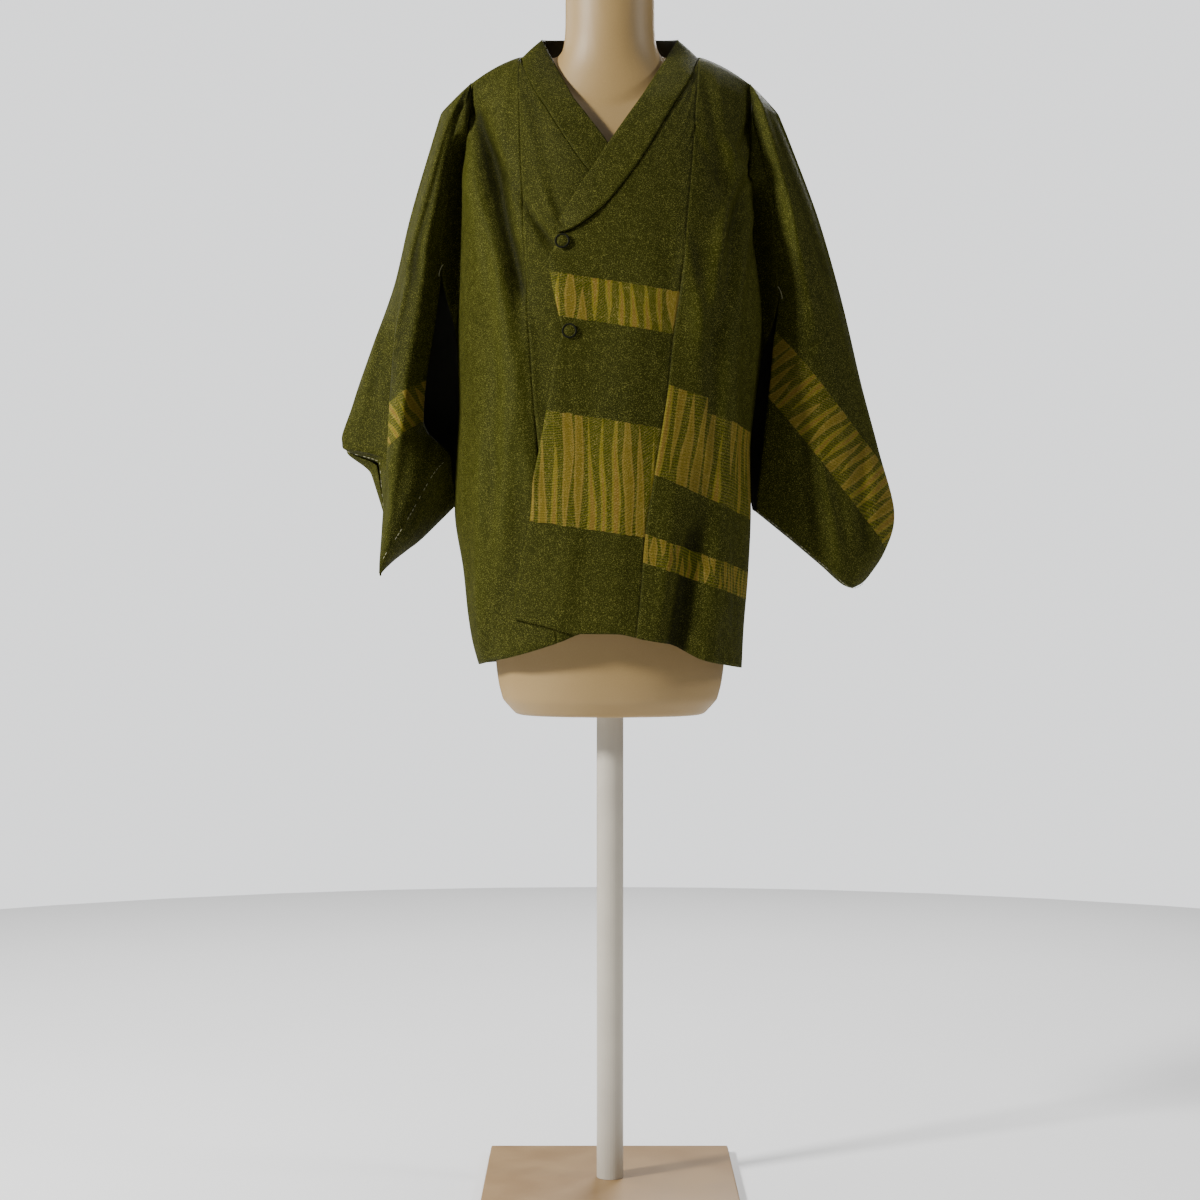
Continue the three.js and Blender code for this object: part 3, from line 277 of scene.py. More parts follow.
def liningPaint():
    p = Paint("lining")
    u, v, _ = p.axes(p.place("cloth"))
    twill = ((u + v) * 2 * math.pi / 0.0012).sin() * 0.5 + 0.5
    colour = p.mix(twill * 0.4, (0.012, 0.011, 0.002), (0.022, 0.019, 0.004))
    p.set({"Base Color": colour, "Roughness": 0.55, "Specular IOR Level": 0.35})
    p.bump(twill, 0.0002, 0.4)
    return p.material


def formPaint():
    p = Paint("form_cover")
    weave = p.noise(p.spot(), 900.0)
    wide = p.noise(p.spot(), 6.0, 3.0)
    colour = p.mix(wide.ramp(0.3, 0.7), (0.25, 0.162, 0.058), (0.29, 0.19, 0.072))
    colour = p.mix(weave.ramp(0.4, 0.7) * 0.25, colour, (0.33, 0.22, 0.09))
    p.set({"Base Color": colour, "Roughness": 0.5, "Specular IOR Level": 0.4})
    p.bump(weave, 0.0002, 0.3)
    return p.material


def metalPaint(name, low, high, rough):
    p = Paint(name)
    wide = p.noise(p.spot(), 14.0, 4.0)
    fine = p.noise(p.spot(), 600.0)
    p.set({"Base Color": p.mix(wide.ramp(0.3, 0.7), low, high), "Roughness": wide.ramp(0.2, 0.8) * 0.15 + rough})
    p.bump(fine, 0.0002, 0.25)
    return p.material


lining = liningPaint()
paints = {name: clothPaint("cloth_" + name, bands) for name, bands in bandTables.items()}
plainCloth = clothPaint("cloth_plain", [])
formCover = formPaint()
poleMetal = metalPaint("pole_metal", (0.42, 0.38, 0.31), (0.47, 0.43, 0.35), 0.3)
basePaint = metalPaint("base_paint", (0.25, 0.15, 0.062), (0.29, 0.18, 0.076), 0.42)
print("materials")


# Garment surface, in millimetres
def clamp(v, lo, hi): return min(hi, max(lo, v))
def mix(a, b, t): return a + (b - a) * t


def ease(lo, hi, v):
    t = clamp((v - lo) / (hi - lo), 0, 1)
    return t * t * (3 - 2 * t)


def curve(rows, value):
    xs = [r[0] for r in rows]
    ys = [r[value] for r in rows]
    n = len(xs)
    slope = [(ys[i + 1] - ys[i]) / (xs[i + 1] - xs[i]) for i in range(n - 1)]
    m = [slope[0]]
    for a, b in zip(slope, slope[1:]):
        m.append(0 if a * b <= 0 else 2 * a * b / (a + b))
    m.append(slope[-1])

    def at(x):
        x = clamp(x, xs[0], xs[-1])
        i = 0
        while i < n - 2 and x > xs[i + 1]:
            i += 1
        h = xs[i + 1] - xs[i]
        t = (x - xs[i]) / h
        start = (1 + 2 * t) * (1 - t) ** 2 * ys[i] + t * (1 - t) ** 2 * h * m[i]
        return start + t * t * (3 - 2 * t) * ys[i + 1] + t * t * (t - 1) * h * m[i + 1]
    return at


cut = {
    "hem": 620, "tall": 701, "shoulderTip": 1321, "shoulderTop": 1353.5, "shoulderHalf": 168, "neckHalf": 108,
    "lift": 5, "wall": 1.6, "collarWall": 2.6, "sideOpening": 95}
widths = [  # z, half width to the wearer's left, to the right
    (622, 157, 156), (662, 159, 166), (737, 165, 175), (810, 168, 186), (875, 167, 184), (930, 172, 181), (975, 178, 182),
    (1025, 183, 183), (1100, 176, 181), (1140, 170, 179), (1180, 165, 176), (1236, 168, 172), (1285, 169, 170), (1321, 168, 168)]
depths = [  # rise, front depth, back depth
    (0, 126, 118), (0.18, 133, 124), (0.38, 134, 122), (0.52, 130, 114), (0.65, 122, 108), (0.72, 114, 106), (0.79, 104, 104),
    (0.84, 93, 99), (0.89, 77, 88), (0.93, 60, 73), (0.96, 42, 54), (0.98, 27, 36), (0.992, 15, 20), (1, 0, 0)]
shoulder = [(0, 1362), (60, 1360), (108, 1353.5), (128, 1346), (148, 1335), (168, 1321)]
leftWidth, rightWidth = curve(widths, 1), curve(widths, 2)
frontDepth, backDepth = curve(depths, 1), curve(depths, 2)
shoulderLine = curve(shoulder, 1)


def shoulderOver(a): return shoulderLine(abs(a) * cut["shoulderHalf"])
def halfWidth(a, rise): return (leftWidth if a >= 0 else rightWidth)(cut["hem"] + cut["tall"] * rise)
def heightOf(a, rise): return cut["hem"] + (shoulderOver(a) - cut["hem"]) * rise


def napeDepth(a):
    x = abs(a) * cut["shoulderHalf"] / cut["neckHalf"]
    return 64 * math.sqrt(1 - x * x) if x < 1 else 0


def plain(turn, rise):
    a = math.sin(math.radians(turn))
    around = max(0, 1 - abs(a) ** 2.4) ** (1 / 2.4)
    back = backDepth(rise)
    y = -frontDepth(rise) * around if abs(turn) <= 90 else back * around + napeDepth(a) * (1 - back / 124)
    return Vector((a * halfWidth(a, rise), y, heightOf(a, rise)))


def plainNormal(turn, rise):
    t = clamp(turn, -178, 178)
    if abs(abs(t) - 90) < 1.5:
        return Vector((math.copysign(1, t), 0, 0))
    r = min(rise, 0.995)
    across = plain(t + 0.5, r) - plain(t - 0.5, r)
    up = plain(t, min(1, r + 0.004)) - plain(t, r - 0.004)
    return across.cross(up).normalized()


frontFolds = [  # x0, z0, x1, z1, height, width
    (-160, 1267, -141, 1206, -7, 9), (-141, 1206, -111, 1072, -8, 9), (-164, 1200, -146, 1080, 4, 11),
    (-119, 1030, -92, 850, 5, 13), (-140, 980, -150, 700, 3, 16), (-104, 1168, -76, 1118, -3, 6),
    (142, 1222, 162, 1192, 5, 9), (158, 1252, 148, 1220, -5, 7), (150, 1195, 136, 1133, -6, 8),
    (131, 1070, 117, 1018, -4, 9), (128, 1040, 138, 850, 4, 15), (104, 980, 108, 760, -3, 14),
    (90, 760, 71, 645, -9, 12), (118, 760, 112, 625, 5, 15)]
fineFolds = [
    (-70, 1190, -58, 1130, -1.6, 5), (-88, 1140, -66, 1112, -1.8, 4.5), (-96, 1120, -70, 1098, 1.4, 4),
    (-52, 1080, -60, 900, 1.5, 12), (-20, 1050, -34, 700, -1.3, 18), (30, 1000, 6, 700, 1.6, 20),
    (58, 1180, 66, 1000, -1.4, 12), (150, 960, 143, 700, -2.2, 9), (-170, 950, -160, 680, -2.0, 9),
    (-130, 850, -140, 640, -2.0, 10), (60, 720, 52, 664, 2.0, 9), (112, 1300, 124, 1200, -2.2, 7),
    (128, 1290, 140, 1216, 1.6, 6), (-120, 1320, -128, 1200, 1.4, 8), (-88, 1280, -84, 1262, -1.5, 4),
    (-160, 1262, -150, 1180, 4.5, 8), (-150, 1180, -122, 1075, 5, 8), (-122, 1075, -106, 960, 4.5, 9),
    (-106, 960, -118, 760, 3.5, 11),
    (172, 1265, 152, 1205, 4.5, 7), (152, 1205, 128, 1115, 4.5, 7), (128, 1115, 118, 1040, 3.5, 8), (168, 1190, 148, 1080, 5, 8),
    (148, 1080, 140, 900, 4, 9), (90, 1092, 102, 1018, 4, 7), (102, 1018, 109, 870, 4.5, 8), (92, 1268, 108, 1238, 2.5, 4.5),
    (100, 1240, 118, 1200, -2.5, 5), (-100, 1280, -92, 1242, 2.5, 4), (-86, 1150, -64, 1126, 2.6, 3.5), (-72, 1164, -60, 1132, 2.2, 3),
    (-116, 900, -132, 700, 4.0, 10), (-146, 860, -152, 660, 3.5, 9), (126, 900, 132, 700, 3.5, 9), (70, 800, 62, 700, 2.2, 8),
    (-40, 760, -52, 690, 1.6, 10), (20, 1150, 40, 1120, 1.2, 8), (-95, 1010, -88, 930, 2.4, 7)]
backFolds = [
    (-70, 1150, -96, 700, 4, 20), (-30, 980, -44, 620, -5, 18), (28, 1040, 34, 630, 4, 19),
    (82, 1120, 104, 640, -5, 19), (128, 1180, 108, 1020, -6, 13), (-132, 1190, -112, 1030, -6, 13)]
fineBackFolds = [
    (-120, 1240, -60, 1190, -1.6, 8), (118, 1250, 70, 1200, -1.6, 8), (-140, 960, -146, 660, 1.8, 10),
    (62, 960, 68, 640, 1.6, 10), (-62, 880, -72, 640, -1.6, 9), (140, 980, 148, 650, -1.8, 9), (0, 1300, 0, 1180, -1.0, 10)]


def foldHeight(folds, x, z):
    total = 0
    for x0, z0, x1, z1, height, width in folds:
        dx, dz = x1 - x0, z1 - z0
        length = math.hypot(dx, dz)
        along = ((x - x0) * dx + (z - z0) * dz) / length
        away = ((x - x0) * dz - (z - z0) * dx) / length
        over = max(0, -along, along - length) / 30
        reach = width * (1.5 if away * height > 0 else 0.6)
        total += height * math.exp(-((away / reach) ** 2) - over * over)
    return clamp(total * 1.3, -13, 10)


def garment(turn, rise, lift=0):
    p = plain(turn, rise)
    fade = ease(1, 0.93, rise) * ease(0, 0.5, abs(math.cos(math.radians(turn))) * 2)
    folds = frontFolds + fineFolds if abs(turn) <= 90 else backFolds + fineBackFolds
    return p + plainNormal(turn, rise) * (lift + foldHeight(folds, p.x, p.z) * fade)


def frontParams(x, z):
    rise, a = (z - cut["hem"]) / 740, 0
    for _ in range(4):
        a = clamp(x / halfWidth(x, clamp(rise, 0, 1)), -0.999, 0.999)
        rise = min(1, (z - cut["hem"]) / (shoulderOver(a) - cut["hem"]))
    return math.degrees(math.asin(a)), rise


seamLines = [  # z, x on the left front, x on the right front
    (620, 27, -58), (662, 29, -62), (702, 33, -66), (772, 38.5, -73), (849, 50, -80), (939, 64, -88), (998, 70.5, -92),
    (1053, 78, -97), (1110, 84, -100), (1183, 91, -103), (1292, 100, -107), (1338, 104.5, -108), (1353.5, 108, -108)]
edgeLines = [
    (620, -112, 102), (681, -110.5, 99), (748, -101, 93), (792, -91, 88), (850, -84.5, 82), (920, -71.5, 74), (984, -61, 68),
    (1009, -54, 65), (1022, -57, 64), (1068, -67, 61), (1093, -70, 60), (1107, -64, 59), (1122, -63, 58)]
collarSeam = [
    (-72, 1116, 1116), (-62.5, 1120, 1119), (-47, 1124.5, 1126), (-27, 1136.5, 1140), (-3, 1158, 1164), (15.3, 1181.6, 1186),
    (36.6, 1212.5, 1213), (69.3, 1271, 1267), (97.5, 1322.6, 1320), (108, 1353.5, 1353.5)]
hemLeft = curve([(-112, 681), (-73, 672), (-40, 663.5), (8, 663), (36, 657), (68, 651), (104, 634), (157, 621.5)], 1)
hemRight = curve([(-157, 625.5), (-110, 637), (-59, 653), (-30, 664), (30, 669), (104, 672)], 1)
hemBack = curve([(-157, 625.5), (0, 629), (157, 621.5)], 1)
armholes = {  # z, x, front y, back y, pocket y
    "left": [
        (1071, 200, -36, 44, -12), (1100, 198, -38, 45, -11), (1130, 196, -39, 45, -11), (1164, 194, -39, 44, -12),
        (1190, 188.5, -38, 43, -16), (1208, 184, -37, 42, -36), (1249, 175, -33, 38, -35), (1272, 170, -29, 33, -30),
        (1296, 168, -22, 25, -24), (1308, 168, -14, 16, -15), (1321, 168, 0, 0, 0)],
    "right": [
        (1096, 199, -36, 46, -12), (1110, 202, -38, 46, -11), (1144, 199, -39, 46, -10), (1166, 196, -39, 45, -10),
        (1210, 193, -37, 43, -11), (1240, 188, -35, 39, -15), (1262, 183, -32, 36, -32), (1280, 178, -28, 31, -28),
        (1296, 172, -22, 25, -24), (1308, 169, -14, 16, -15), (1321, 168, 0, 0, 0)]}
sides = {}
for name, sign, lift, hem, col in (("left", 1, cut["lift"], hemLeft, 1), ("right", -1, 0, hemRight, 2)):
    hole = armholes[name]
    sides[name] = {
        "name": name, "sign": sign, "lift": lift, "hem": hem, "foot": (hole[0][0] - cut["hem"]) / cut["tall"],
        "seamX": curve(seamLines, col), "edgeX": curve(edgeLines, col), "collarZ": curve(collarSeam, col),
        "holeX": curve(hole, 1), "holeFront": curve(hole, 2), "holeBack": curve(hole, 3), "pocket": curve(hole, 4),
        "width": leftWidth if sign > 0 else rightWidth}


def liftAt(s, rise): return s["lift"] * ease(1, 0.94, rise)


def frontPoint(s, share, rise):
    a = 0.5 * s["sign"]
    for _ in range(4):
        seam = s["seamX"](heightOf(a, rise))
        low = math.asin(clamp(seam / halfWidth(s["sign"], rise), -0.98, 0.98))
        a = math.sin(mix(low, s["sign"] * math.pi / 2, share))
    turn = s["sign"] * 90 if share > 0.999 else math.degrees(math.asin(clamp(a, -1, 1)))
    return garment(turn, rise, liftAt(s, rise) * (1 - share * share))


def backPoint(s, share, rise):
    low = math.asin(cut["neckHalf"] / cut["shoulderHalf"])
    angle = mix(low, math.pi / 2, share) if share >= 0 else low * (1 + share)
    return garment(s["sign"] * (180 - math.degrees(angle)), rise)


def withWing(s, share, rise, point, front):
    if share <= 0.8:
        return point
    z = cut["hem"] + cut["tall"] * rise
    footZ = cut["hem"] + cut["tall"] * s["foot"]
    end = 1 if z >= footZ else ease(footZ - cut["sideOpening"], footZ, z)
    hole = Vector((s["sign"] * s["holeX"](z), (s["holeFront"] if front else s["holeBack"])(z), z))
    edge = Vector((s["sign"] * s["width"](z), 0, z)).lerp(hole, end)
    if share > 0.999:
        return edge
    pocketY = s["pocket"](z) if front else 26 * ease(cut["shoulderTip"], 1270, z)
    at = frontPoint if front else backPoint
    base, start = at(s, 0.9, rise), at(s, 0.8, rise)
    amount = max(end * ease(1, 0.94, rise), end * ease(1, 0.9, rise))
    middle = base.lerp(Vector((s["sign"] * (s["width"](z) - 1), pocketY, base.z)), amount)
    q = (share - 0.8) / 0.2
    return start * ((1 - q) * (1 - 2 * q)) + middle * (4 * q * (1 - q)) + edge * (q * (2 * q - 1))


def hemRise(s, share, front):
    rise = 0.02
    for _ in range(4):
        p = (frontPoint if front else backPoint)(s, share, rise)
        z = (s["hem"] if front else hemBack)(p.x)
        rise = (z - cut["hem"]) / (shoulderOver(p.x / s["width"](cut["hem"])) - cut["hem"])
    return rise


sleeveFolds = {
    "left": [
        (274, 1046, 236, 1000, -4, 5), (268, 1030, 232, 984, 3, 6), (180, 1285, 214, 1150, 4, 9), (214, 1150, 238, 1040, 3, 10),
        (196, 1260, 250, 1100, -3, 7), (250, 850, 272, 750, 5, 9), (292, 880, 300, 770, -4, 8),
        (226, 900, 240, 790, -4, 9), (300, 1000, 322, 860, 3, 8)],
    "right": [
        (-180, 1285, -206, 1120, 4, 8), (-206, 1120, -222, 960, 3, 8), (-192, 1250, -230, 1110, -4, 7), (-232, 1080, -262, 940, -3, 7),
        (-238, 930, -262, 780, 4, 8), (-212, 900, -232, 800, -3, 7), (-280, 1010, -300, 900, 3, 7)]}
# Fold lists whose height drives the painted shade in fold hollows and painted highlight on fold tops; the collar gets
# none.
shadeFolds = {"sleeve_" + k + "_cloth": (v, backFolds) for k, v in sleeveFolds.items()}
shadeFolds["collar_cloth"] = ([], [])


# Sheets
def spread(low, high, count): return [mix(low, high, i / count) for i in range(count + 1)]
def uvLayers(bm): return [bm.loops.layers.uv.new(name) for name in ("cloth", "front", "foldShade")]


def meshObject(name, bm, materials=()):
    mesh = bpy.data.meshes.new(name)
    bm.to_mesh(mesh)
    bm.free()
    for material in materials:
        mesh.materials.append(material)
    made = bpy.data.objects.new(name, mesh)
    bpy.context.collection.objects.link(made)
    return made


def applyModifiers(piece):
    for modifier in list(piece.modifiers):
        bpy.ops.object.modifier_apply(modifier=modifier.name)


# grids: (rows of points in mm, cloth coordinates in m, keep test); rows go up, columns to the viewer's right
def sheetPiece(name, grids, wall, outer, bottom=()):
    bpy.ops.object.select_all(action="DESELECT")
    bm = bmesh.new()
    clothLayer, frontLayer, foldShadeLayer = uvLayers(bm)
    folds = shadeFolds.get(name, (frontFolds + fineFolds, backFolds + fineBackFolds))
    known = {}

    def vertex(p):
        key = (round(p.x, 2), round(p.y, 2), round(p.z, 2))
        if key not in known:
            known[key] = bm.verts.new(p / 1000)
        return known[key]

    def quad(corners):
        inFront = sum(p.y for p, _ in corners) < 0
        verts, coords = [], []
        for p, c in corners:
            v = vertex(p)
            if v not in verts:
                verts.append(v)
                coords.append((p, c))
        if len(verts) < 3:
            return
        try:
            face = bm.faces.new(verts)
        except ValueError:
            return
        for loop, (p, c) in zip(face.loops, coords):
            loop[clothLayer].uv = c
            loop[frontLayer].uv = (p.x / 1000, p.z / 1000)
            # This fold height only feeds the painted shade and highlight in the cloth paint; v marks the front or back
            # face.
            height = foldHeight(folds[0] if p.y < 0 else folds[1], p.x, p.z)
            loop[foldShadeLayer].uv = (0.5 + height / (20 if p.y < 0 else 45), 0 if inFront else 1)
        face.smooth = True

    for rows, coords, keep in grids:
        for j in range(len(rows) - 1):
            for i in range(len(rows[j]) - 1):
                if keep is None or keep(j, i):
                    quad([(rows[a][b], coords[a][b]) for a, b in ((j, i), (j, i + 1), (j + 1, i + 1), (j + 1, i))])
    for corners in bottom:
        quad(corners)
    piece = meshObject(name, bm, (outer, lining))
    bpy.context.view_layer.objects.active = piece
    piece.select_set(True)
    thick = piece.modifiers.new("wall", "SOLIDIFY")
    thick.thickness = wall / 1000
    thick.offset = -1
    thick.use_even_offset = name.startswith(("overlap", "collar"))
    thick.thickness_clamp = 0.9
    thick.material_offset = 1
    thick.material_offset_rim = 0
    thick.edge_crease_rim = 0.8
    thick.edge_crease_outer = 0.7
    thick.edge_crease_inner = 0.7
    sub = piece.modifiers.new("smooth", "SUBSURF")
    sub.levels = sub.render_levels = 1
    sub.boundary_smooth = "PRESERVE_CORNERS"
    applyModifiers(piece)
    return piece


def clothCoords(rows, offset=(0.0, 0.0)):
    # warp length up each column and width along each row, from the sheet's own point distances
    out = [[None] * len(r) for r in rows]
    middle = len(rows) // 2
    across = [0.0]
    for i in range(1, len(rows[middle])):
        across.append(across[-1] + (rows[middle][i] - rows[middle][i - 1]).length / 1000)
    column = len(rows[0]) // 2
    up = [0.0]
    for j in range(1, len(rows)):
        up.append(up[-1] + (rows[j][column] - rows[j - 1][column]).length / 1000)
    for j, row in enumerate(rows):
        for i in range(len(row)):
            out[j][i] = (across[i] + offset[0], up[j] + offset[1])
    return out


body = {"rowsLow": 44, "rowsHigh": 44}
pieces = {}
for s in sides.values():
    rises = [s["foot"] * f for f in spread(0, 1, body["rowsLow"])][:-1]
    rises += [mix(s["foot"], 1, 1 - (1 - i / body["rowsHigh"]) ** 1.5) for i in range(body["rowsHigh"] + 1)]
    shares = spread(0, 0.8, 20)[:-1] + spread(0.8, 1, 8)
    napes = spread(-1, 0, 14)[:-1]
    hemsFront = {x: hemRise(s, min(x, 0.999), True) for x in shares}
    hemsBack = {x: hemRise(s, x, False) for x in napes + shares}

    def bodyPoint(x, f, inFront):
        low = (hemsFront if inFront else hemsBack)[x]
        rise = mix(low, s["foot"], f / s["foot"]) if f < s["foot"] else f
        return withWing(s, x, rise, (frontPoint if inFront else backPoint)(s, x, rise), inFront)
    front = [[bodyPoint(x, f, True) for x in shares] for f in rises]
    back = [[bodyPoint(x, f, False) for x in napes + shares] for f in rises]
    back[-1][len(napes):] = front[-1]
    for j, f in enumerate(rises):
        if cut["tall"] * (f - s["foot"]) <= -cut["sideOpening"]:
            both = (front[j][-1] + back[j][-1]) / 2
            front[j][-1] = back[j][-1] = both
    s["edge"] = {}
    for part, half in (("front", front), ("back", back)):
        s["edge"][part] = [r[-1] for f, r in zip(rises, half) if f >= s["foot"] - 1e-6]
    frontRows = front if s["sign"] > 0 else [r[::-1] for r in front]
    backRows = [r[::-1] for r in back] if s["sign"] > 0 else back
    name = "body_" + s["name"]
    grids = [(frontRows, clothCoords(frontRows), None), (backRows, clothCoords(backRows, (0.5, 0.3)), None)]
    pieces[name] = sheetPiece(name + "_cloth", grids, cut["wall"], paints.get(name, plainCloth))
    print("sheet", name)

overlap = {"rows": 80, "columns": 22}
for s in sides.values():
    shares = spread(0, 1, overlap["columns"])
    tops, hems = [], []
    for share in shares:
        low, high = 1100, cut["shoulderTop"]
        for _ in range(30):
            z = (low + high) / 2
            x = mix(s["edgeX"](z), s["seamX"](z), share)
            if z < s["collarZ"](s["sign"] * x):
                low = z
            else:
                high = z
        tops.append(cut["shoulderTop"] if share > 0.999 else low)
        z = 665
        for _ in range(4):
            z = s["hem"](mix(s["edgeX"](z), s["seamX"](z), share))
        hems.append(z)
    seamHem = hemRise(s, 0, True)
    rows = []
    for j in range(overlap["rows"] + 1):
        f = j / overlap["rows"]
        row = []
        for share, top, hem in zip(shares, tops, hems):
            if share > 0.999:
                row.append(frontPoint(s, 0, mix(seamHem, 1, f)))
                continue
            z = mix(hem, top, f)
            turn, rise = frontParams(mix(s["edgeX"](z), s["seamX"](z), share), z)
            row.append(garment(turn, rise, liftAt(s, rise)))
        rows.append(row)
    s["top"] = rows[-1]
    rows = rows if s["sign"] > 0 else [r[::-1] for r in rows]
    name = "overlap_" + s["name"]
    grids = [(rows, clothCoords(rows, (0.9, 0.1)), None)]
    pieces[name] = sheetPiece(name + "_cloth", grids, cut["wall"], paints.get(name, plainCloth))
    print("sheet", name)

neckEdge = {  # share of the way to the shoulder, x, z
    "left": [
        (0, -64, 1123), (0.06, -60.5, 1134), (0.13, -53.5, 1146.5), (0.24, -37.6, 1173.6), (0.35, -23, 1196),
        (0.56, 2.7, 1236), (0.8, 37.2, 1289)],
    "right": [
        (0, -60, 1123), (0.06, -56, 1134), (0.13, -49, 1147), (0.24, -33, 1174), (0.35, -19, 1196),
        (0.56, 6, 1236), (0.8, 43, 1289)]}
collar = {
    "napeEnd": 13 / 14, "napeSteps": 26, "tuck": 2.4, "bulge": 1.5, "crown": 0.9, "inner": (82, 10, 1377.5),
    "stand": 1.7, "tipStand": 2.6}
bandAcross = spread(0, 1, 8)


def collarRow(s, outer):
    along = clamp((outer.x * s["sign"] + 63) / (cut["neckHalf"] + 63), 0, 1)
    flat = min(along, 0.8)
    turn, rise = frontParams(s["sign"] * curve(neckEdge[s["name"]], 1)(flat), curve(neckEdge[s["name"]], 2)(flat))
    inner = garment(turn, rise, liftAt(s, rise))
    late = ease(0.8, 1, along) * 0.5 + clamp((along - 0.8) / 0.2, 0, 1) * 0.5
    if along > 0.8:
        x, y, z = collar["inner"]
        inner = inner.lerp(Vector((s["sign"] * x, y, z)), late)
    bulge = collar["bulge"] * ease(0.75, 0.85, along)
    crown = collar["crown"] * ease(0, 0.15, along)
    stand = collar["stand"] * ease(0, 0.05, along) * ease(0.98, 0.85, along)
    stand += collar["tipStand"] * ease(0, 0.08, along) * ease(0.4, 0.2, along)
    row = []
    for c in bandAcross:
        p = outer.lerp(inner, c)
        lift = math.sin(c * math.pi)
        normal = plainNormal(*frontParams(p.x, min(p.z, 1340)))
        row.append(Vector((p.x, p.y - lift * bulge, p.z)) + normal * (crown * lift ** 0.5 + stand * (1 - c) ** 2))
    return row


def napeRow(k):
    s = sides["left"] if k >= 0 else sides["right"]
    outer = backPoint(s, abs(k) - 1, 1)
    angle = k * math.pi / 2
    x, y, z = collar["inner"]
    inner = Vector((x * math.sin(angle), y + 60 * math.cos(angle) ** 0.9, z + 14 * math.cos(angle)))
    tuck = collar["tuck"] * ease(1, 0.8, abs(k))  # the band's lower edge goes a little way in under the back
    return [outer.lerp(inner, c) + Vector((0, 2 * math.sin(c * math.pi), -tuck * (1 - c) ** 2)) for c in bandAcross]


bands = {}
for s in sides.values():
    line = []
    for a, b in zip(s["top"], s["top"][1:]):
        line += [a, a.lerp(b, 1 / 3), a.lerp(b, 2 / 3)]
    bands[s["name"]] = [collarRow(s, p) for p in line + [s["top"][-1]]]
napeRows = [napeRow(k) for k in spread(collar["napeEnd"], -collar["napeEnd"], collar["napeSteps"])]
rows = [r[::-1] for r in bands["left"] + napeRows + bands["right"][::-1]]
grids = [(rows, clothCoords(rows, (0.2, 0.7)), None)]
pieces["collar"] = sheetPiece("collar_cloth", grids, cut["collarWall"], plainCloth)
print("sheet collar")

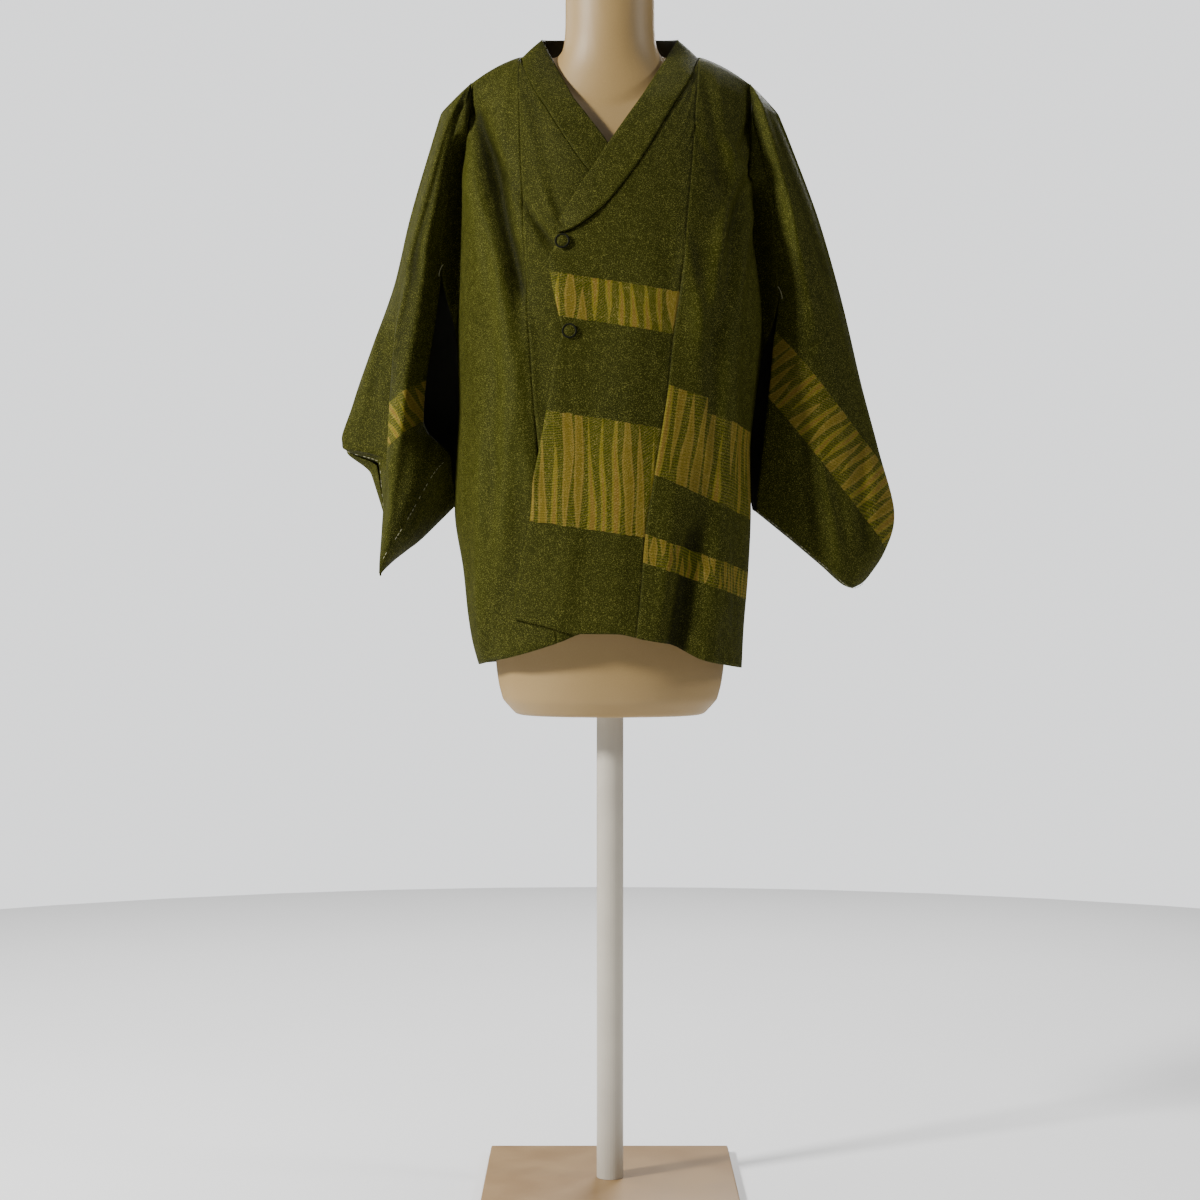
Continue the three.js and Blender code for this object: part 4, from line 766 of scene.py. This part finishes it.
# foot (1 shoulder, 0 armhole foot, -1 bottom seam), five points out over the front, five back
sleeveRows = {
    "left": [
        (0.9, [(170, -27, 1284), (180, -30, 1283), (187, -26, 1283), (193, -18, 1284), (198, -8, 1285)],
         [(198, 6, 1285), (194, 18, 1284), (188, 28, 1283), (180, 33, 1283), (170, 31, 1284)]),
        (0.72, [(175, -33, 1249), (190, -39, 1247), (201, -34, 1246), (209, -22, 1246), (214, -8, 1246)],
         [(214, 8, 1246), (209, 22, 1246), (200, 34, 1246), (189, 40, 1247), (177, 38, 1249)]),
        (0.37, [(194, -39, 1164), (213, -49, 1162), (229, -43, 1160), (240, -27, 1158), (247, -9, 1157)],
         [(247, 9, 1157), (240, 27, 1158), (228, 40, 1160), (212, 47, 1162), (195, 44, 1164)]),
        (0, [(200, -36, 1071), (222, -54, 1068), (246, -48, 1064), (264, -30, 1060), (276, -9, 1056)],
         [(275, 12, 1056), (262, 30, 1060), (243, 42, 1064), (221, 48, 1068), (200, 44, 1071)]),
        (-0.25, [(193, -36, 1005), (225, -58, 996), (257, -50, 986), (285, -29, 975), (299, -4, 966)],
         [(292, 26, 966), (274, 38, 975), (246, 46, 986), (214, 54, 996), (183, 54, 1005)]),
        (-0.5, [(187, -34, 940), (228, -54, 926), (270, -47, 910), (305, -26, 895), (322, 2, 884)],
         [(304, 34, 884), (287, 38, 895), (254, 42, 910), (214, 50, 926), (170, 54, 940)]),
        (-0.75, [(180, -31, 874), (228, -48, 855), (275, -44, 834), (322, -26, 815), (342, 4, 808)],
         [(322, 36, 812), (303, 32, 822), (262, 32, 836), (214, 40, 856), (168, 48, 874)]),
        (-0.9, [(175, -28, 832), (220, -42, 804), (264, -42, 776), (306, -28, 757), (330, 2, 760)],
         [(314, 32, 768), (292, 26, 768), (256, 14, 780), (212, 20, 806), (170, 34, 832)]),
        (-1, [(173, -26, 808), (212, -36, 775), (250, -36, 742), (284, -22, 714), (305, 4, 722)],
         [(296, 22, 732), (278, 2, 722), (246, -6, 748), (209, 2, 779), (172, 20, 811)])],
    "right": [
        (0.9, [(176, -27, 1284), (184, -30, 1283), (190, -26, 1284), (195, -18, 1285), (199, -8, 1286)],
         [(199, 8, 1286), (195, 20, 1285), (190, 29, 1284), (184, 33, 1283), (176, 30, 1284)]),
        (0.7, [(186, -34, 1251), (195, -38, 1250), (202, -33, 1250), (207, -21, 1250), (210, -8, 1250)],
         [(210, 9, 1250), (207, 23, 1250), (202, 34, 1250), (194, 40, 1250), (186, 38, 1251)]),
        (0.31, [(196, -39, 1166), (211, -49, 1164), (223, -44, 1163), (231, -27, 1162), (236, -8, 1161)],
         [(236, 10, 1161), (231, 28, 1162), (223, 41, 1163), (211, 48, 1164), (196, 45, 1166)]),
        (0, [(199, -36, 1096), (218, -58, 1094), (236, -54, 1092), (247, -34, 1088), (254, -8, 1084)],
         [(254, 12, 1084), (245, 31, 1088), (232, 44, 1092), (216, 50, 1094), (199, 46, 1096)]),
        (-0.25, [(206, -44, 1030), (227, -68, 1026), (251, -60, 1022), (252, -30, 1016), (281, -4, 1008)],
         [(280, 16, 1008), (260, 34, 1014), (238, 47, 1020), (212, 55, 1026), (188, 54, 1030)]),
        (-0.5, [(216, -46, 965), (237, -74, 958), (258, -64, 950), (254, -30, 945), (304, -2, 938)],
         [(303, 19, 938), (271, 38, 944), (242, 49, 950), (210, 56, 956), (180, 57, 962)]),
        (-0.7, [(220, -46, 912), (238, -76, 900), (261, -64, 884), (256, -30, 880), (319, 2, 883)],
         [(316, 22, 877), (279, 38, 876), (246, 48, 882), (212, 55, 892), (180, 56, 900)]),
        (-0.78, [(214, -46, 898), (236, -75, 884), (262, -63, 858), (259, -34, 858), (268, -20, 874)],
         [(290, 20, 858), (268, 30, 848), (240, 38, 850), (208, 44, 862), (182, 46, 872)]),
        (-0.95, [(192, -36, 878), (217, -62, 850), (249, -62, 800), (268, -44, 782), (270, -26, 800)],
         [(268, 8, 794), (252, 12, 784), (229, 17, 794), (204, 24, 812), (184, 30, 826)]),
        (-1, [(188, -32, 873), (208, -50, 848), (240, -54, 790), (264, -44, 752), (275, -30, 730)],
         [(271, -20, 731), (256, -17, 745), (232, -9, 762), (205, 1, 790), (186, 11, 812)])]}
cuffTop = {"left": -0.45, "right": -0.6}


def spline(points, t):
    last = len(points) - 1
    i = int(clamp(math.floor(t), 0, last - 1))
    u = t - i
    p1, p2 = points[i], points[i + 1]
    p0 = points[i - 1] if i else p1 * 2 - p2
    p3 = points[i + 2] if i + 2 <= last else p2 * 2 - p1
    return 0.5 * (2 * p1 + (p2 - p0) * u + (2 * p0 - 5 * p1 + 4 * p2 - p3) * u * u + (3 * p1 - p0 - 3 * p2 + p3) * u ** 3)


sleeve = {"around": 36, "free": 46, "capRows": 5, "foldOut": 4}
for s in sides.values():
    table = []
    for foot, front, back in sleeveRows[s["name"]]:
        front = [Vector((x * s["sign"], y, z)) for x, y, z in front]
        back = [Vector((x * s["sign"], y, z)) for x, y, z in back]
        out = sleeve["foldOut"] if foot > cuffTop[s["name"]] else 0
        tip = (front[-1] + back[0]) / 2 + Vector((s["sign"] * out, 0, 0))
        table.append((foot, front + [tip] + back))
    edgeFront, edgeBack = s["edge"]["front"], s["edge"]["back"]
    first = len(edgeFront) - 1 - sleeve["capRows"]
    footZ = edgeFront[0].z
    levels = [((edgeFront[j].z - footZ) / (cut["shoulderTip"] - footZ), j) for j in range(first, -1, -1)]
    levels += [(-i / sleeve["free"], None) for i in range(1, sleeve["free"] + 1)]
    count = sleeve["around"] * 2 + 1
    topFront, topBack = edgeFront[first:], edgeBack[first:][::-1]
    arcLine = topFront + topBack[1:]
    grid = []
    for k, (foot, j) in enumerate(levels):
        i = 0
        while i < len(table) - 2 and foot < table[i + 1][0]:
            i += 1
        t = i + clamp((table[i][0] - foot) / (table[i][0] - table[i + 1][0]), -1, 1)

        def ring(w):
            points = [spline(r[1], w * (len(r[1]) - 1)) for r in table]
            straight = ease(-0.62, -0.7, foot) if s["sign"] < 0 else 0
            row = min(int(max(0, t)), len(points) - 2)
            return spline(points, max(0, t)).lerp(points[row].lerp(points[row + 1], max(0, t) - row), straight)
        near, far = ring(0), ring(1)
        row = []
        for c in range(count):
            w = c / (count - 1)
            place = w * (len(arcLine) - 1)
            m = min(int(place), len(arcLine) - 2)
            arc = arcLine[m].lerp(arcLine[m + 1], place - m)
            p = ring(w)
            if foot > table[0][0]:
                p = arc.lerp(p, ((levels[0][0] - foot) / (levels[0][0] - table[0][0])) ** 0.7)
            if k == 0:
                p = arc
            elif j is not None:
                keep, keepFar = math.exp(-w * 7), math.exp(-(1 - w) * 7)
                p = p + (edgeFront[j] - near) * (keep - keepFar * math.exp(-7))
                p = p + (edgeBack[j] - far) * (keepFar - keep * math.exp(-7))
                if c in (0, count - 1):
                    p = edgeFront[j] if c == 0 else edgeBack[j]
            window = ease(0.02, 0.12, w) * ease(0.5, 0.4, w)
            row.append(p - Vector((0, window * foldHeight(sleeveFolds[s["name"]], p.x, p.z), 0)))
        grid.append(row)
    half = (count - 1) // 2
    rows = grid if s["sign"] > 0 else [r[::-1] for r in grid]
    rows = rows[::-1]
    coords = clothCoords(rows, (0.4, 0.2))
    total = len(rows) - 1
    cuff = cuffTop[s["name"]]

    def keep(j, i): return not (i in (half, half - 1) and levels[total - j - 1][0] <= cuff)
    low, lowCoords = rows[0], coords[0]
    bottom = []
    for i in range(half - 1):
        corners = ((i + 1, i + 1), (i, i), (count - 1 - i, i), (count - 2 - i, i + 1))
        bottom.append([(low[a], lowCoords[b]) for a, b in corners])
    inner = half + 2 if s["sign"] < 0 else half - 2
    s["cuffLine"] = [rows[j][inner] for j in range(total + 1) if levels[total - j][0] <= cuff]
    fronts = [i for i in range(count) if (i > half + 2) == (s["sign"] < 0)]
    s["bottomLine"] = [rows[0][i] * 0.7 + rows[1][i] * 0.3 for i in fronts]
    name = "sleeve_" + s["name"]
    grids = [(rows, coords, keep)]
    pieces[name] = sheetPiece(name + "_cloth", grids, cut["wall"], paints.get(name, plainCloth), bottom)
    print("sheet", name)

# Stitching and loose threads
stitch = {"radius": 0.38, "dash": 3.4, "step": 5.6, "off": 1.3}
threadPaint = Paint("thread")
threadNoise = threadPaint.noise(threadPaint.spot(), 900.0)
threadColour = threadPaint.mix(threadNoise, (0.16, 0.15, 0.07), (0.32, 0.31, 0.20))
threadPaint.set({"Base Color": threadColour, "Roughness": 0.7})
threadPaint.bump(threadNoise, 0.0001, 0.5)


def tube(bm, line, radius):
    rings = []
    turns = (0, 1.257, 2.513, 3.77, 5.027)
    for i, p in enumerate(line):
        along = (line[min(i + 1, len(line) - 1)] - line[max(i - 1, 0)]).normalized()
        side = along.cross(Vector((0, 1, 0.2))).normalized()
        up = side.cross(along)
        rings.append([bm.verts.new((p + (side * math.cos(a) + up * math.sin(a)) * radius) / 1000) for a in turns])
    for a, b in zip(rings, rings[1:]):
        for i, k in zip(range(5), (1, 2, 3, 4, 0)):
            bm.faces.new([a[i], a[k], b[k], b[i]]).smooth = True
    bm.faces.new(rings[0])
    bm.faces.new(rings[-1])


bm = bmesh.new()
for line in (sides["right"]["cuffLine"], sides["right"]["bottomLine"], sides["left"]["bottomLine"][::-1]):
    travelled, ahead = 0.0, 2.0
    for a, b in zip(line, line[1:]):
        length = (b - a).length
        while ahead + stitch["dash"] <= travelled + length:
            if ahead >= travelled:
                start = a.lerp(b, (ahead - travelled) / length)
                end = a.lerp(b, (ahead + stitch["dash"] - travelled) / length)
                out = Vector((0, -stitch["off"], 0))
                path = [start + out * 0.6, start.lerp(end, 0.3) + out, start.lerp(end, 0.7) + out, end + out * 0.6]
                tube(bm, path, stitch["radius"])
            ahead += stitch["step"]
        travelled += length
loose = {"radius": 0.45, "drop": 9, "reach": 5, "at": ((-197, -43, 1094, -1), (198, -41, 1068, 1))}
for x, y, z, flip in loose["at"]:
    path = []
    for t in spread(0, 1, 10):
        over = x + flip * loose["reach"] * math.sin(t * 1.9)
        path.append(Vector((over, y - 2.5 * math.sin(t * 3.0), z + 1 - loose["drop"] * t + 3 * math.cos(t * 4))))
    tube(bm, path, loose["radius"])
bmesh.ops.recalc_face_normals(bm, faces=bm.faces)
stitching = meshObject("stitching", bm, [threadPaint.material])
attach(stitching, "root")
print("stitching")

# Buttons
button = {
    "segments": 48, "off": 0.5, "places": (("button_upper", -54, 1111), ("button_lower", -46, 1008)), "rimRings": (2, 6),
    "profile": [  # radius, height
        (0, 0.1), (7.4, 0.1), (8.4, 0.7), (8.7, 1.6), (8.4, 2.5), (7.8, 3.0), (7.2, 2.9), (6.7, 2.3), (6.2, 2.1),
        (5.4, 2.5), (3.8, 3.0), (2.0, 3.25), (0, 3.3)]}
buttonRim = Paint("button_rim")
buttonRim.set({"Base Color": (0.004, 0.0045, 0.0015, 1), "Roughness": 0.8, "Specular IOR Level": 0.1})
buttonRim.bump(buttonRim.noise(buttonRim.spot(), 1500.0), 0.0002, 0.5)
for name, x, z in button["places"]:
    turn, rise = frontParams(x, z)
    base = garment(turn, rise, cut["lift"] + button["off"])
    bm = bmesh.new()
    clothLayer, frontLayer, foldShadeLayer = uvLayers(bm)
    turnBy = plainNormal(turn, rise).to_track_quat("Z", "Y")
    rings = []
    for r, h in button["profile"]:
        ring = []
        for angle in spread(0, 2 * math.pi, 1 if r == 0 else button["segments"])[:-1]:
            ring.append(bm.verts.new((base + turnBy @ Vector((r * math.cos(angle), r * math.sin(angle), h))) / 1000))
        rings.append(ring)
    for number, (a, b) in enumerate(zip(rings, rings[1:])):
        n = button["segments"]
        for i in range(n):
            k = (i + 1) % n
            if len(a) == 1:
                face = bm.faces.new([a[0], b[k], b[i]])
            elif len(b) == 1:
                face = bm.faces.new([a[i], a[k], b[0]])
            else:
                face = bm.faces.new([a[i], a[k], b[k], b[i]])
            face.smooth = True
            face.material_index = 1 if button["rimRings"][0] <= number <= button["rimRings"][1] else 0
            for loop in face.loops:
                loop[clothLayer].uv = (loop.vert.co.x, loop.vert.co.z)
                loop[frontLayer].uv = (loop.vert.co.x, loop.vert.co.z)
                loop[foldShadeLayer].uv = (0.5, 0.5)
    bmesh.ops.recalc_face_normals(bm, faces=bm.faces)
    piece = meshObject(name + "_covered", bm, (plainCloth, buttonRim.material))
    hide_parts(name)
    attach(piece, "root")
print("buttons")

# Dress form
formSections = [  # rise, half width, front, back
    (-0.075, 112, 76, 76), (-0.06, 126, 88, 86), (0, 136, 96, 93), (0.15, 142, 100, 98), (0.35, 138, 94, 92), (0.5, 134, 92, 88),
    (0.65, 140, 100, 92), (0.76, 146, 96, 92), (0.84, 150, 80, 86), (0.9, 154, 61, 72), (0.94, 157, 45, 58), (0.965, 159, 32, 43),
    (0.98, 160, 22, 31), (0.992, 160, 12, 17), (1, 160, 1.5, 1.5)]
neckSections = [
    (1286, 96, 60, 2), (1312, 84, 56, 3), (1334, 70, 52, 2), (1352, 60, 50, 0), (1370, 55, 49, -2), (1395, 53.5, 49, -4),
    (1432, 53.5, 49.5, -5), (1438, 51.5, 47.5, -5), (1440, 47, 43, -5)]


def ringMesh(bm, rings):
    made = [[bm.verts.new(p / 1000) for p in ring] for ring in rings]
    n = len(made[0])
    for a, b in zip(made, made[1:]):
        for i in range(n):
            bm.faces.new([a[i], a[(i + 1) % n], b[(i + 1) % n], b[i]])
    bm.faces.new(made[0][::-1])
    bm.faces.new(made[-1])


form = {"segments": 72, "voxel": 0.004, "smoothing": 4}
bm = bmesh.new()
segments = form["segments"]
rings = []
widthAt, frontAt, backAt = curve(formSections, 1), curve(formSections, 2), curve(formSections, 3)
for rise in spread(-0.075, 0.9, 40) + [0.92, 0.94, 0.955, 0.97, 0.98, 0.987, 0.993, 0.997, 1]:
    ring = []
    for i in range(segments):
        angle = 2 * math.pi * i / segments
        a, c = math.sin(angle), math.cos(angle)
        around = math.copysign(max(0, 1 - abs(a) ** 2.3) ** (1 / 2.3), c)
        depth = frontAt(rise) if c > 0 else backAt(rise)
        under = mix(9 if c > 0 else 5, 2.9, ease(112, 135, abs(a * widthAt(rise)))) * ease(0.4, 0.9, rise)
        top = shoulderOver(a * widthAt(rise) / cut["shoulderHalf"])
        ring.append(Vector((a * widthAt(rise), -around * depth, cut["hem"] + (top - cut["hem"]) * rise - under)))
    rings.append(ring)
ringMesh(bm, rings)
neckWidth, neckDepth, neckY = curve(neckSections, 1), curve(neckSections, 2), curve(neckSections, 3)
rings = []
for z in spread(1270, 1432, 28) + [1435, 1437.5, 1439.2, 1440]:
    ring = []
    for i in range(segments):
        angle = 2 * math.pi * i / segments
        ring.append(Vector((math.sin(angle) * neckWidth(z), neckY(z) - math.cos(angle) * neckDepth(z), z)))
    rings.append(ring)
ringMesh(bm, rings)
torso = meshObject("form_torso_cover", bm)
bpy.ops.object.select_all(action="DESELECT")
bpy.context.view_layer.objects.active = torso
torso.select_set(True)
remesh = torso.modifiers.new("skin", "REMESH")
remesh.mode = "VOXEL"
remesh.voxel_size = form["voxel"]
remesh.use_smooth_shade = True
soften = torso.modifiers.new("soften", "SMOOTH")
soften.factor = 0.5
soften.iterations = form["smoothing"]
applyModifiers(torso)
torso.data.materials.clear()
torso.data.materials.append(formCover)
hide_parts("form_torso")
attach(torso, "root")

plate = {"side": 0.3, "thick": 0.01, "bevel": 0.0022}
plateSize = (plate["side"], plate["side"], plate["thick"])
bpy.ops.mesh.primitive_cube_add(size=1, location=(0, 0, plate["thick"] / 2), scale=plateSize)
board = bpy.context.object
board.name = "form_base_plate"
bpy.ops.object.transform_apply(location=True, rotation=True, scale=True)
edge = board.modifiers.new("edge", "BEVEL")
edge.width = plate["bevel"]
edge.segments = 4
bpy.ops.object.modifier_apply(modifier="edge")
bpy.ops.object.shade_smooth_by_angle(angle=math.radians(40))
board.data.materials.append(basePaint)
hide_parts("form_base")
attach(board, "root")
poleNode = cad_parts["form_pole"]
poleNode.data.materials.clear()
poleNode.data.materials.append(poleMetal)
print("dress form")

for name, piece in pieces.items():
    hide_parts(name)
    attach(piece, "root")

# Floor
floorDisc = {"radius": 2.7, "sides": 64}
bpy.ops.mesh.primitive_circle_add(vertices=floorDisc["sides"], radius=floorDisc["radius"], fill_type="NGON")
floor = bpy.context.object
floor.name = "studio_floor"
floorPaint = Paint("studio_floor")
floorNoise = floorPaint.noise(floorPaint.spot(), 1.5).ramp(0.3, 0.7)
floorColour = floorPaint.mix(floorNoise, (0.86, 0.86, 0.855), (0.88, 0.88, 0.875))
floorPaint.set({"Base Color": floorColour, "Roughness": 0.85})
floor.data.materials.append(floorPaint.material)
